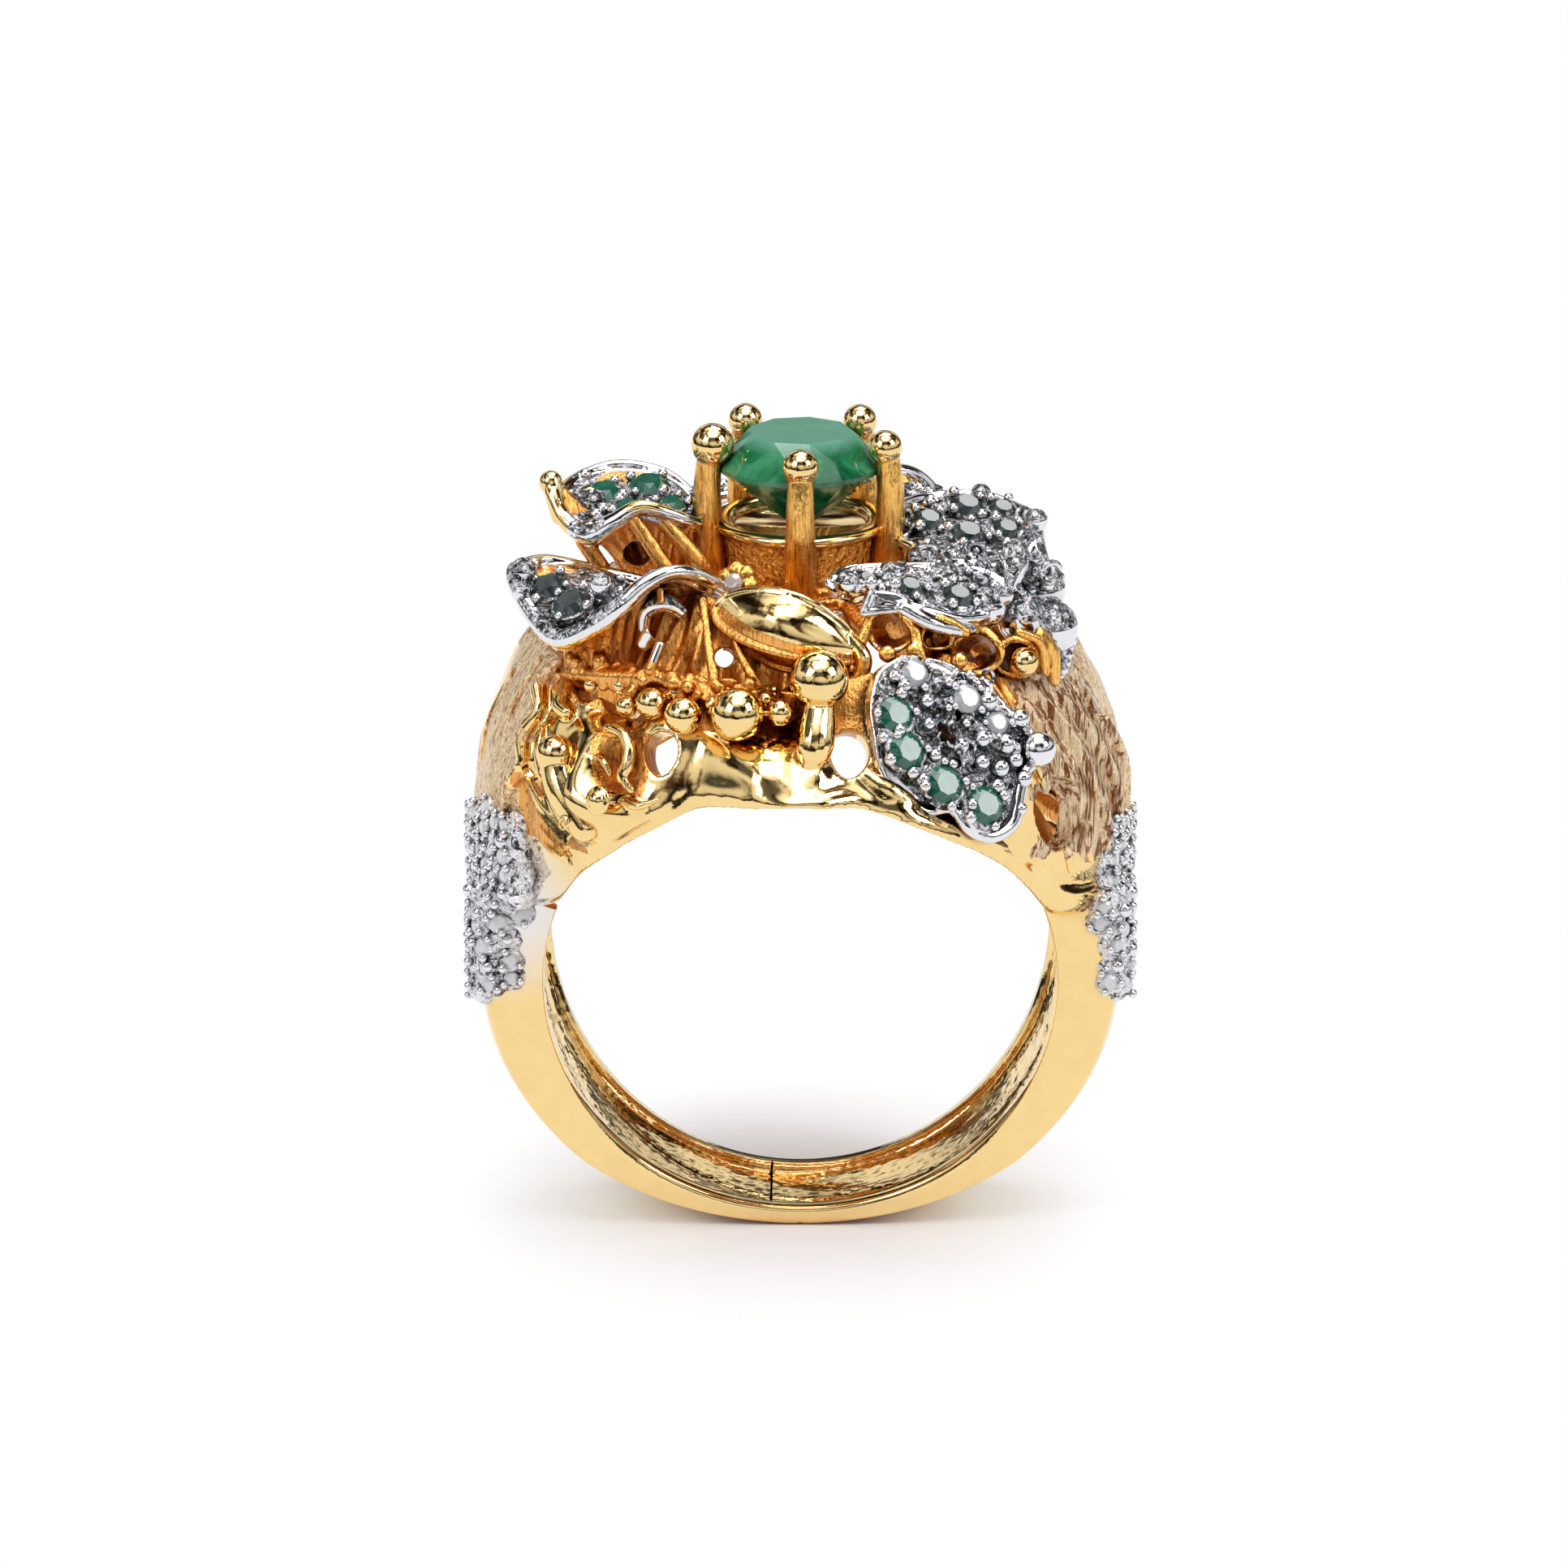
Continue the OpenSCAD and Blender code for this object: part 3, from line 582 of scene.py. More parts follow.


# The emerald is painted paler near its table, as a painted reflection
emerald = make_stone("emerald", [(0.3, (0.003, 0.07, 0.025)), (0.5, (0.012, 0.16, 0.062)),
                                 (0.72, (0.07, 0.34, 0.17))], 0.2, 1.58, 0.8,
                     (GIRDLE_Z + 1.1, (0.17, 0.42, 0.32)))
green_glass = make_stone("green_stone", [(0.3, (0.002, 0.05, 0.03)), (0.7, (0.02, 0.20, 0.12))],
                         0.3, 1.62, 1.6)
grey_glass = make_stone("grey_stone", [(0.3, (0.010, 0.018, 0.017)), (0.7, (0.07, 0.095, 0.09))],
                        0.3, 1.62, 1.6)
white_glass = make_stone("white_stone", [(0.3, (0.84, 0.85, 0.90)), (0.7, (1.0, 1.0, 1.0))],
                         0.3, 1.9, 2.0)
clear_glass = make_stone("clear_stone", [(0.3, (0.80, 0.82, 0.87)), (0.7, (1.0, 1.0, 1.0))],
                         0.62, 1.9, 2.0)


# ---- Camera, stage and light ----
CAM_DISTANCE = 250
CAM_ELEVATION = 19.5
CAM_LENS = 167.7
CAM_SENSOR = 36
SHIFT_X = -0.0104
SHIFT_Y = 0.1040
LIGHT_AIM = Vector((0, 0, 6))
FLOOR_Z = -(BORE_R + BAND_T)
FLOOR_HALF = 400.0
# Distances from the ring's middle between which the floor fades to plain white
FLOOR_FADE = (9.6, 15)
# Half length and half width of the painted shadow under the band, warm as a painted reflection of
# the gold
SHADOW_PATCH = (5.5, 2.2)
TENT_STRENGTH = 0.9

scene = bpy.context.scene
scene.view_settings.view_transform = "Standard"
scene.view_settings.look = "None"


def spot(position, size, power):
    """A square studio light at position (millimetres), turned to the head."""
    data = bpy.data.lights.new("softbox", "AREA")
    data.shape, data.size, data.energy = "SQUARE", size * MM, power
    obj = bpy.data.objects.new("softbox", data)
    scene.collection.objects.link(obj)
    obj.location = Vector(position) * MM
    obj.rotation_euler = (Vector(position) - LIGHT_AIM).to_track_quat("Z", "Y").to_euler()


def make_camera():
    """The photo's viewpoint: in front of the ring and above it, with a long lens."""
    data = bpy.data.cameras.new("camera")
    data.lens, data.sensor_width = CAM_LENS, CAM_SENSOR
    data.shift_x, data.shift_y = SHIFT_X, SHIFT_Y
    data.clip_start, data.clip_end = 0.01, 5
    obj = bpy.data.objects.new("camera", data)
    scene.collection.objects.link(obj)
    e = radians(CAM_ELEVATION)
    obj.location = Vector((0, -cos(e), sin(e))) * CAM_DISTANCE * MM
    obj.rotation_euler = (radians(90 - CAM_ELEVATION), 0, 0)
    scene.camera = obj


def make_world():
    """White to the eye; to the metal, a tent of soft boxes with dark gaps between them."""
    world = bpy.data.worlds.new("studio")
    world.use_nodes = True
    scene.world = world
    t = Tree(world.node_tree)
    tent = t.tree.nodes["Background"]
    tent.inputs["Strength"].default_value = TENT_STRENGTH
    way = t.add("ShaderNodeTexCoord").outputs["Generated"]
    split = t.add("ShaderNodeSeparateXYZ")
    t.link(way, split.inputs[0])
    levels = t.ramp(t.part_of(split.outputs["Z"], -1, 1),
                    [(0.0, 0.30), (0.40, 0.35), (0.47, 0.10), (0.53, 0.05), (0.60, 0.70),
                     (0.72, 0.95), (0.78, 0.12), (0.87, 0.10), (0.93, 1.3)])
    gaps = t.add("ShaderNodeTexNoise")
    gaps.inputs["Scale"].default_value = 2.6
    gaps.inputs["Detail"].default_value = 1.0
    t.link(way, gaps.inputs["Vector"])
    warm = t.ramp(gaps.outputs["Fac"], [(0.42, (0.13, 0.075, 0.04)), (0.52, 1.15)])
    t.link(t.multiply(levels, warm), tent.inputs["Color"])
    sky = t.add("ShaderNodeBackground")
    sky.inputs["Color"].default_value = (1, 1, 1, 1)
    seen = t.add("ShaderNodeLightPath").outputs["Is Camera Ray"]
    t.blend(seen, tent.outputs["Background"], sky.outputs["Background"], "World Output")


def make_floor():
    """A white sheet fading into the white studio, with the ring's soft shadow on it, partly
    painted.
    """
    corners = [[x * FLOOR_HALF, y * FLOOR_HALF, FLOOR_Z]
               for x, y in ((-1, -1), (1, -1), (1, 1), (-1, 1))]
    mesh = mesh_from((np.array(corners), [[0, 1, 2, 3]]), "floor")
    mesh.transform(Matrix.Scale(MM, 4))
    obj = bpy.data.objects.new("floor", mesh)
    scene.collection.objects.link(obj)
    m = Nodes("paper")
    away = m.add("ShaderNodeVectorMath", operation="LENGTH")
    m.link(m.mm, away.inputs[0])
    flat = m.add("ShaderNodeVectorMath", operation="MULTIPLY")
    flat.inputs[1].default_value = (1 / SHADOW_PATCH[0], 1 / SHADOW_PATCH[1], 0)
    m.link(m.mm, flat.inputs[0])
    near = m.add("ShaderNodeVectorMath", operation="LENGTH")
    m.link(flat.outputs[0], near.inputs[0])
    # painted shadow under the band, warm as a painted reflection of the gold, fading to the paper's
    # white
    warm = m.ramp(near.outputs["Value"], [(0.15, (0.34, 0.21, 0.11)), (0.9, (0.95, 0.95, 0.98))])
    m.set(Base_Color=warm, Roughness=m.ramp(m.noise(0.2), [(0, 0.5), (1, 0.6)]),
          Normal=m.bump(m.noise(3), 0.01, 0.2))
    white = m.add("ShaderNodeEmission")
    white.inputs["Color"].default_value = (1, 1, 1, 1)
    m.blend(m.part_of(away.outputs["Value"], *FLOOR_FADE), m.shader.outputs["BSDF"],
            white.outputs["Emission"], "Material Output")
    mesh.materials.append(m.material)


make_camera()
make_world()
make_floor()
for light in (((-120, -120, 150), 90, 0.16), ((130, -60, 120), 70, 0.12),
              ((0, -40, 200), 120, 0.14), ((20, 70, 170), 90, 0.12)):
    spot(*light)


# ---- Shank ----
SEAM_X = -0.97
# Half the open seam, in radians
SEAM_GAP = 0.004
# The worn hollow inside the band, and the plain rims on either side of it
HOLLOW_R = 8.95
RIM_W = 0.55
SHANK_TOP = 3.2
# The distance from the finger's axis at which the band's width is taken
SPAN = 9.0
# Heights inside the band: its slow waves, its rough skin and the one ridge that wanders
WAVE, SKIN, RIDGE = 0.035, 0.02, 0.10


def band_half(z):
    """Half the band's width at height z."""
    return BAND_HALF + (SIDE_HALF - BAND_HALF) * (z + BORE_R) / BORE_R


def band_outer(a):
    """How far the band's outside stands from the finger's axis at angle a from +X."""
    side, low = BORE_R + SIDE_T, BORE_R + BAND_T
    c, s = cos(a), sin(a)
    if s >= 0:
        return side / max(abs(c), 0.2)
    return side * low / hypot(low * c, side * s)


def band_section(a, rnd):
    """The band's outline at angle a as (distance, y) pairs, round from the inside."""
    h = band_half(SPAN * sin(a))
    outer = band_outer(a)
    face = min(0.5 + 1.05 * abs(cos(a)) ** 0.8, outer - BORE_R - 0.1)
    rim = h - RIM_W
    pts = []
    for t in np.linspace(-1, 1, 41):
        wave = WAVE * sin(5 * t + 9 * a) + rnd.uniform(-SKIN, SKIN)
        ridge = RIDGE * exp(-((t - 0.55 * sin(1.7 * a + 0.4)) / 0.045) ** 2)
        step = min(1.0, (1 - abs(t)) / 0.07)
        pts.append((BORE_R + (HOLLOW_R - BORE_R + wave - ridge) * step, rim * t))
    pts += [(BORE_R + 0.01, rim + 0.1), (BORE_R, h - 0.12), (BORE_R + 0.08, h)]
    pts += [(BORE_R + face * f, h) for f in (0.35, 0.65, 0.9)]
    for t in np.linspace(0.05, pi - 0.05, 25):
        y = h * copysign(abs(cos(t)) ** 0.62, cos(t))
        r = BORE_R + face + (outer - BORE_R - face) * sin(t) ** 0.75
        pts.append((r, y))
    pts += [(BORE_R + face * f, -h) for f in (0.9, 0.65, 0.35)]
    pts += [(BORE_R + 0.08, -h), (BORE_R, 0.12 - h), (BORE_R + 0.01, -rim - 0.1)]
    return pts


def shank_half(from_a, to_a, seam, seed, steps=150):
    """Half the band between two angles; its seam is open inside and closed on the rims."""
    rnd = random.Random(seed)
    angles = sorted([*np.linspace(from_a, to_a, steps), from_a + 0.001, to_a - 0.001])
    rows = []
    for a in angles:
        # the rims' last rows reach just past the seam
        close = copysign(SEAM_GAP + 0.001, seam - a) if abs(a - seam) < 2 * SEAM_GAP else 0
        row = []
        for r, y in band_section(a, rnd):
            inside = abs(y) < band_half(SPAN * sin(a)) - RIM_W + 0.02 and r < HOLLOW_R + 0.1
            turn = a if inside else a + close
            row.append([r * cos(turn), y, r * sin(turn)])
        rows.append(row)
    return solid(rows)


def make_shank():
    """The two halves of the shank, with rough cast skin in their hollow."""
    seam = -pi / 2 + asin(SEAM_X / BORE_R)
    left_top = pi - asin(SHANK_TOP / (BORE_R + 1)) - 2 * pi
    right_top = asin(SHANK_TOP / (BORE_R + 1))

    def hollow(c, n):
        r = hypot(c[0], c[2])
        return (BORE_R + 0.08 < r < HOLLOW_R + 0.2 and n[0] * c[0] + n[2] * c[2] < 0
                and abs(c[1]) < band_half(c[2]) - RIM_W - 0.02)

    for node, from_a, to_a, seed in (("shank_left", left_top, seam - SEAM_GAP, 3),
                                     ("shank_right", seam + SEAM_GAP, right_top, 5)):
        obj = cast(node, shank_half(from_a, to_a, seam, seed), gold_shoulder,
                   also=(gold_sparkle, hollow))
        obj.modifiers.new("edges", "WEIGHTED_NORMAL")


# ---- Domed wall ----
# Above this elevation the wall is in the petals' shade
SHADE_EL = 31
# Directions at which the front wall's textured sides begin, and the front wall's right end
LEFT_SIDE, RIGHT_SIDE, FRONT_END = 208.5, 318, 350
# The front wall's lower lip, as direction, elevation and distance from the dome's centre
LIP_FRONT = [(176, -9, 11.2), (196, -9, 11.0), (207, -7.0, 10.2), (214.5, -3.4, 9.9),
             (219, 0.8, 9.75), (223.3, 3.8, 9.9), (229, 6.4, 10.1), (234.7, 9.0, 10.3),
             (242.2, 14.2, 10.6), (247.3, 18.6, 10.5), (251, 19.9, 10.6), (257.5, 20.1, 11.2),
             (262, 19.6, 11.7), (266.5, 18.6, 11.9), (273, 18.6, 12.0), (279, 19.2, 11.5),
             (284, 17.6, 11.5), (289, 15.2, 11.7), (295, 12.4, 11.5), (302.5, 9.6, 10.9),
             (311, 4.6, 10.3), (318, -0.6, 10.1), (326, -5.8, 10.0), (334, -9, 10.4),
             (346, -9.5, 11.0), (364, -9.5, 11.2)]
# The wall's upper edge, as direction and elevation
TOP_FRONT = [(176, 38), (196, 37), (209, 36.5), (220, 31), (232, 33), (240, 39), (250, 40),
             (262, 40), (275, 40), (288, 42), (305, 42), (320, 42), (338, 38), (350, 37),
             (364, 36)]
# Openings in the front wall: direction, elevation, the halves of each in degrees, and turn
HOLES_FRONT = {
    "left_round": (242.4, 25.9, 3.1, 3.8, 12),
    "right_round": (279.4, 27.2, 3.3, 4.2, -14),
    "small": (226, 33.2, 1.7, 1.6, 30),
    "left_slot": (197.6, 28.6, 1.6, 6.4, -6),
    "second_slot": (187.5, 24.5, 1.3, 5.0, 10),
    "right_slot": (343.5, 25.5, 1.9, 5.2, 24),
    "leaf_slot": (323.4, 10.0, 5.0, 7.4, 30),
    "dark_gap": (262.0, 38.0, 3.4, 1.4, 0),
}


def follow(table, az):
    """The table's row at direction az, by straight steps between its rows."""
    az_list = [row[0] for row in table]
    return [float(np.interp(az, az_list, [row[k] for row in table]))
            for k in range(1, len(table[0]))]


def swell(az, el, spots):
    """Soft bumps on the wall; spots are (az, el, width az, width el, height)."""
    return sum(h * exp(-((az - a) / wa) ** 2 - ((el - e) / we) ** 2)
               for a, e, wa, we, h in spots)


def wall_patch(lip, top, spots, seed, wall=0.95, bend=0.42, nu=300, nv=70):
    """The domed wall between its lip and upper edge, as a closed shell wall thick.

    The lip's own distance fades out over the lowest share bend of the wall.
    """
    rnd = np.random.default_rng(seed)
    phases = rnd.uniform(0, 6.28, 8)
    outside, inside = [], []
    for az in np.linspace(lip[0][0], lip[-1][0], nu):
        low, low_r = follow(lip, az)
        high, = follow(top, az)
        high += 1.2 * sin(az * 0.23 + phases[0]) + 0.8 * sin(az * 0.61 + phases[1])
        out_row, in_row = [], []
        for v in np.linspace(0, 1, nv):
            el = low + (high - low) * v
            r = DOME_R + (low_r - DOME_R) * max(0.0, 1 - v / bend) ** 1.5
            r += swell(az, el, spots)
            r += 0.05 * sin(az * 0.33 + el * 0.2 + phases[2]) \
                + 0.04 * sin(az * 0.21 - el * 0.35 + phases[3])
            out_row.append(dome(az, el, r - DOME_R))
            in_row.append(dome(az, el, r - DOME_R - wall))
        outside.append(out_row)
        inside.append(in_row)
    shell = np.concatenate([np.array(outside), np.array(inside)[:, ::-1]], axis=1)
    return solid(shell)


def lip_roll(lip, sink=0.35):
    """The rounded lower edge of the wall, thickest at the sides."""
    return tube([[*dome(az, el, r - DOME_R - sink), 0.42 + 0.35 * abs(cos(radians(az)))]
                 for az, el, r in lip], 14, steps=6)


def punch(az, el, half_az, half_el, turn, depth=3.0):
    """A rounded cutter through the wall; its halves are degrees on the dome."""
    scale = radians(1) * DOME_R
    m = wall_frame(az, el, 0)
    c, s = cos(radians(turn)), sin(radians(turn))
    rings = []
    for z in (-depth, 1.2):
        ring = []
        for t in turns(28):
            x, y = half_az * scale * cos(t), half_el * scale * sin(t)
            x *= 1 + 0.18 * sin(t)
            ring.append([x * c - y * s, x * s + y * c, z])
        rings.append(ring)
    return moved(solid(rings), m)


def ray_tube(points, sides=12, **more):
    """A rod along (az, el, out, radius) points on the wall."""
    return tube([[*dome(a, e, o), r] for a, e, o, r in points], sides, **more)


def finger_cutter(r=BORE_R + 0.12, half=16):
    """A round cutter along Y that keeps the finger's way clear."""
    t = turns(96)
    return solid([np.stack([r * np.cos(t), np.full(96, y), r * np.sin(t)], 1)
                  for y in (-half, half)])


# Swellings and hollows of the front wall, as swell() takes them
SPOTS_FRONT = [(264, 24, 10, 5, 0.5), (227, 15, 6, 8, 0.8), (250, 26, 4, 5, -0.2),
               (238, 14, 8, 5, 0.75), (288, 18, 5, 4, 0.35), (258, 36, 9, 5, -0.9),
               (230, 32, 7, 3.5, -0.8), (300, 28, 14, 14, -0.3), (333, 22, 6, 14, 0.15),
               (214, 12, 4, 6, -0.5), (270, 34, 10, 4, -0.5), (233.3, 22.4, 3.4, 4.4, -1.0),
               (217, 26, 3, 5, 0.2), (273, 25, 2.5, 3, 0.25)]


def az_el(point):
    """A point's direction and elevation on the dome."""
    x, y, z = point
    return degrees(atan2(y, x)) % 360, \
        degrees(atan2(z - DOME_Z, hypot(x, y)))


def ragged(point):
    """Direction and elevation with a wander, for borders that aren't straight."""
    az, el = az_el(point)
    return az + 1.6 * sin(0.5 * el) + 0.9 * sin(1.3 * el + 1), \
        el + 1.5 * sin(0.4 * az) + 0.7 * sin(1.1 * az)


def make_front_wall():
    """The pierced front wall with its melted lip, drips, hooked scroll and grooved side."""
    cuts = [punch(*h) for h in HOLES_FRONT.values()] + [finger_cutter()]
    parts = [wall_patch(LIP_FRONT, TOP_FRONT, SPOTS_FRONT, 11),
             lip_roll(LIP_FRONT[1:-1])]
    # the swelling beside the right round hole
    parts += [ray_tube([(282, 23.5, 0.0, 0.4), (286, 20, 0.2, 0.5), (291.5, 16.5, 0.2, 0.35)])]
    # drips that part the textured side wall from the smooth front
    parts += [ray_tube([(208.5, 36, 0.15, 0.22), (207.0, 31, 0.3, 0.3), (210.6, 27, 0.25, 0.2),
                        (208.8, 22, 0.3, 0.27), (210.4, 17.5, 0.2, 0.2),
                        (207.8, 12.5, 0.15, 0.26), (206.5, 8.5, 0.1, 0.16)]),
              ray_tube([(215.0, 33, 0.1, 0.2), (216.5, 29.5, 0.3, 0.3),
                        (219.8, 28.6, 0.35, 0.22)]),
              ray_tube([(212.8, 24.5, 0.1, 0.14), (215.4, 21.0, 0.3, 0.2),
                        (217.6, 16.5, 0.2, 0.14)])]
    # a hooked scroll between the knob and the left round hole, with a crescent under it
    parts += [ray_tube([(229.3, 27.8, 0.15, 0.12), (231.9, 28.2, 0.4, 0.2),
                        (235.2, 27.8, 0.5, 0.2), (237.5, 25.8, 0.5, 0.22),
                        (238.0, 22.9, 0.5, 0.24), (237.4, 20.8, 0.5, 0.2),
                        (239.6, 18.9, 0.45, 0.14)]),
              ray_tube([(238.1, 17.3, 0.45, 0.14), (241.4, 16.7, 0.5, 0.26),
                        (244.8, 18.2, 0.4, 0.12)], flat=0.6),
              ray_tube([(229.5, 23.2, 0.1, 0.12), (231.8, 22.6, 0.2, 0.16),
                        (233.6, 20.8, 0.15, 0.12)])]
    # slanting wires over the band that leads from the side wall to the lip
    for k in range(4):
        parts.append(ray_tube([(211.5 + k, 15.5 - 2.2 * k, 0.0, 0.1),
                               (218.5 + k, 12.5 - 2.2 * k, 0.12, 0.15),
                               (226.0 + 0.4 * k, 8.5 - 1.6 * k, 0.02, 0.1)]))
    # grooved ridges of the right wall
    for k, start in enumerate((314, 319, 325, 331, 338)):
        lean = 7 + 1.5 * k
        parts.append(ray_tube([(start, 38 - 2 * k, 0.0, 0.12), (start + lean * 0.4, 24, 0.2, 0.2),
                               (start + lean, 8 + k, 0.2, 0.22),
                               (start + lean + 3, 0, 0.05, 0.14)]))
    mesh = fused(parts, 0.085, 3, cuts)

    def left_grain(c, n):
        az, el = ragged(c)
        return (az < LEFT_SIDE or az > FRONT_END) and el > -4 and c[2] > SHANK_TOP + 0.2

    def right_grain(c, n):
        az, el = ragged(c)
        return RIGHT_SIDE < az <= FRONT_END and el > 1 + 0.3 * (330 - az)

    def shaded(c, n):
        # faces high up under the petals, on the wall's inside or in the two patches below get the
        # gold in painted shade
        az, el = az_el(c)
        inner = n[0] * c[0] + n[1] * c[1] + n[2] * (c[2] - DOME_Z) < -1.5
        patch = 209.5 < az < 227 and 5 < el < 16 and el < 17 - 0.62 * (az - 209.5)
        deep_shade = 227.5 < az < 241 and 18 < el < 29 and dist(c, (0, 0, DOME_Z)) < DOME_R + 0.2
        return el > SHADE_EL or inner or patch or deep_shade

    piece("gallery_front_cast", mesh, gold_shoulder,
          ("gallery_front", "shoulder_left", "shoulder_right"),
          also=(gold_in_shade, shaded, gold_hammered, left_grain, gold_wood, right_grain))


def turned(table):
    """A front table turned half round the head for the back."""
    return [(row[0] - 180, *row[1:]) for row in table]


def make_back_wall():
    """The back wall: the front's turned half round, with two openings of its own."""
    lip, top = turned(LIP_FRONT), turned(TOP_FRONT)
    holes = [(a - 180, *rest) for name, (a, *rest) in HOLES_FRONT.items()
             if name not in ("left_slot", "second_slot", "right_slot")]
    holes += [(124, 14, 4.2, 4.6, 0), (81, 15.5, 4.0, 4.4, 0)]
    cuts = [punch(*h) for h in holes] + [finger_cutter()]
    parts = [wall_patch(lip, top, turned(SPOTS_FRONT), 23),
             lip_roll(lip[1:-1]),
             ray_tube([(38, 31, 0.1, 0.3), (46, 30, 0.35, 0.3), (54, 30, 0.4, 0.28),
                       (61, 31, 0.3, 0.3)]),
             ray_tube([(48, 14, 0.2, 0.7), (55, 15, 0.3, 0.75), (61, 17.5, 0.3, 0.6)])]
    mesh = fused(parts, 0.1, 3, cuts)

    def left_grain(c, n):
        az, el = ragged(c)
        return 138 < az < 170 and el > 0

    def right_grain(c, n):
        az, el = ragged(c)
        return az < 30 and el > 0

    def shaded(c, n):
        # faces high up under the petals, near the bore or facing inward get the gold in painted
        # shade
        return az_el(c)[1] > SHADE_EL or hypot(c[0], c[2]) < BORE_R + 0.3 or n[1] < -0.6

    cast("gallery_back", mesh, gold,
         (gold_in_shade, shaded, gold_wood, left_grain, gold_hammered, right_grain))


# ---- Centre stone, claws and basket ----
CLAW_TOP = 18.0
CLAW_BALL = 0.58
BASKET_R = 2.9
HOOP_Z = 15.2
COLLAR_Z = 13.55
COLLAR_IN = 2.2


def make_stone_and_basket():
    """The centre stone, five claws, and the hoop, textured collar and foot that bear it."""
    pts, faces = brilliant(GIRDLE_R, 1.15, 0.16, 2.3, table=0.63, n=9)
    piece("emerald_cut", (pts + (0, 0, GIRDLE_Z), faces), emerald,
          ("centre_stone",), smooth=False)
    sizes = {"claw_front": 0.61, "claw_left": 0.72}
    for name, az in CLAW_AZ.items():
        r = sizes.get(name, CLAW_BALL)
        lift = -0.15 if name == "claw_front" else 0.0
        top = polar(az, GIRDLE_R + 0.22, CLAW_TOP + lift)
        parts = [ball(top, r, 18),
                 tube([[*polar(az, BASKET_R + 0.05, 12.6), 0.62],
                       [*polar(az, BASKET_R + 0.18, 14.2), 0.58],
                       [*polar(az, BASKET_R + 0.3, 15.8), 0.50],
                       [*polar(az, BASKET_R + 0.25, 17.1), 0.44], [*top, 0.42]], 20)]
        cast(name, fused(parts, 0.05, 2), gold,
             also=(gold_brushed, lambda c, n, top=top, r=r: c[2] < top[2] - r * 0.55))
    hoop = lathe([(0.01, HOOP_Z - 0.2), (2.55, HOOP_Z - 0.2), (2.9, HOOP_Z - 0.16),
                  (3.02, HOOP_Z), (2.95, HOOP_Z + 0.12), (2.7, HOOP_Z + 0.2),
                  (2.4, HOOP_Z + 0.12), (2.3, HOOP_Z), (2.25, HOOP_Z - 0.15),
                  (0.01, HOOP_Z - 0.16)], 120)
    piece("basket_hoop_cast", hoop, gold, ("basket_top_hoop",))
    rnd = np.random.default_rng(5)
    rings = []
    for z in np.linspace(COLLAR_Z, HOOP_Z - 0.1, 24):
        r = 2.62 + 0.12 * (z - 13.5) / 1.5 + rnd.uniform(-0.03, 0.03, 140)
        rings.append(circle(r, z, 140))
    rings += [circle(COLLAR_IN, z, 140) for z in np.linspace(HOOP_Z - 0.1, COLLAR_Z, 12)]
    cast("basket_collar", sleeve(rings), gold_collar)
    foot = tube([[*polar(a, 2.55, 13.35), 0.3 + 0.04 * sin(a)] for a in range(0, 360, 20)],
                12, closed=True, steps=1)
    # the foot under the collar is given the gold in painted shade
    piece("basket_foot_cast", foot, gold_in_shade, ("basket_foot_hoop",))


# ---- Petals, cups, stones and beads ----
# The petals' rims as points x, y and z with the rim's radius
UPPER_LEFT_RIM = [(-8.3, -1.4, 16.75, .28), (-7.9, -2.2, 15.95, .28), (-7.1, -2.8, 15.5, .34),
                  (-6.2, -3, 16.0, .3), (-5.3, -3, 16.5, .26), (-4.3, -2.9, 16.25, .2),
                  (-3.5, -2.4, 15.8, .2), (-3.3, -1, 15.6, .15), (-3.5, 1.2, 15.6, .15),
                  (-4.6, 2.6, 16.1, .18), (-6.2, 2.9, 16.3, .18), (-7.5, 2, 16.1, .2),
                  (-8.2, .3, 16, .2)]
LOWER_LEFT_RIM = [(-9.4, -3.6, 14.5, .34), (-9, -5, 13.7, .3), (-8, -6.3, 13.0, .34),
                  (-6.9, -6.9, 13.5, .34), (-5.9, -7.1, 14.3, .32), (-5.1, -6.9, 15.0, .28),
                  (-4.2, -6.5, 15.3, .24), (-3.3, -5.9, 15, .24), (-2.5, -5, 14.2, .2),
                  (-3.6, -3.8, 13.8, .15), (-5.2, -3, 14, .15), (-7, -2.6, 14.3, .18),
                  (-8.5, -2.7, 14.6, .2)]
UPPER_RIGHT_RIM = [(3.4, -1.6, 14.9, .18), (5.2, -2.9, 14.6, .2), (7.1, -3, 14.4, .24),
                   (7.9, -1.6, 15.1, .22), (7.9, 0, 15.3, .2), (7.6, 1.6, 15, .2),
                   (6.2, 2.9, 15.2, .2), (4.4, 2.8, 15.2, .18), (3.3, 1.4, 15.3, .15),
                   (3.1, 0, 15.1, .15)]
MID_RIGHT_RIM = [(.9, -6, 14.8, .15), (1.5, -6.4, 14.55, .15), (2.1, -6.6, 14.75, .15),
                 (2.8, -6.9, 14.45, .15), (4.0, -7.0, 14.2, .15), (5.2, -6.6, 13.75, .15),
                 (6.2, -5.7, 13.6, .15), (6.7, -4.8, 13.9, .15), (6.5, -3.8, 14.3, .15),
                 (5.2, -3.6, 14.6, .16), (3.4, -4.2, 14.8, .16), (1.6, -4.9, 14.9, .18)]


def bed_point(rim, centre, turn, share):
    """A point on a petal's bed, turn of the way round its rim and share of the way out."""
    at = (turn % 1) * len(rim)
    i = int(at)
    a, b = np.array(rim[i][:3]), np.array(rim[(i + 1) % len(rim)][:3])
    return np.array(centre) + (a + (b - a) * (at - i) - centre) * share


def closed_path(rim, steps=8):
    """A rim as a smooth closed run of points."""
    n = len(rim)
    wrapped = [rim[-1]] + list(rim) + [rim[0]]
    path = smooth_path(wrapped, steps)
    return path[steps:steps + n * steps]


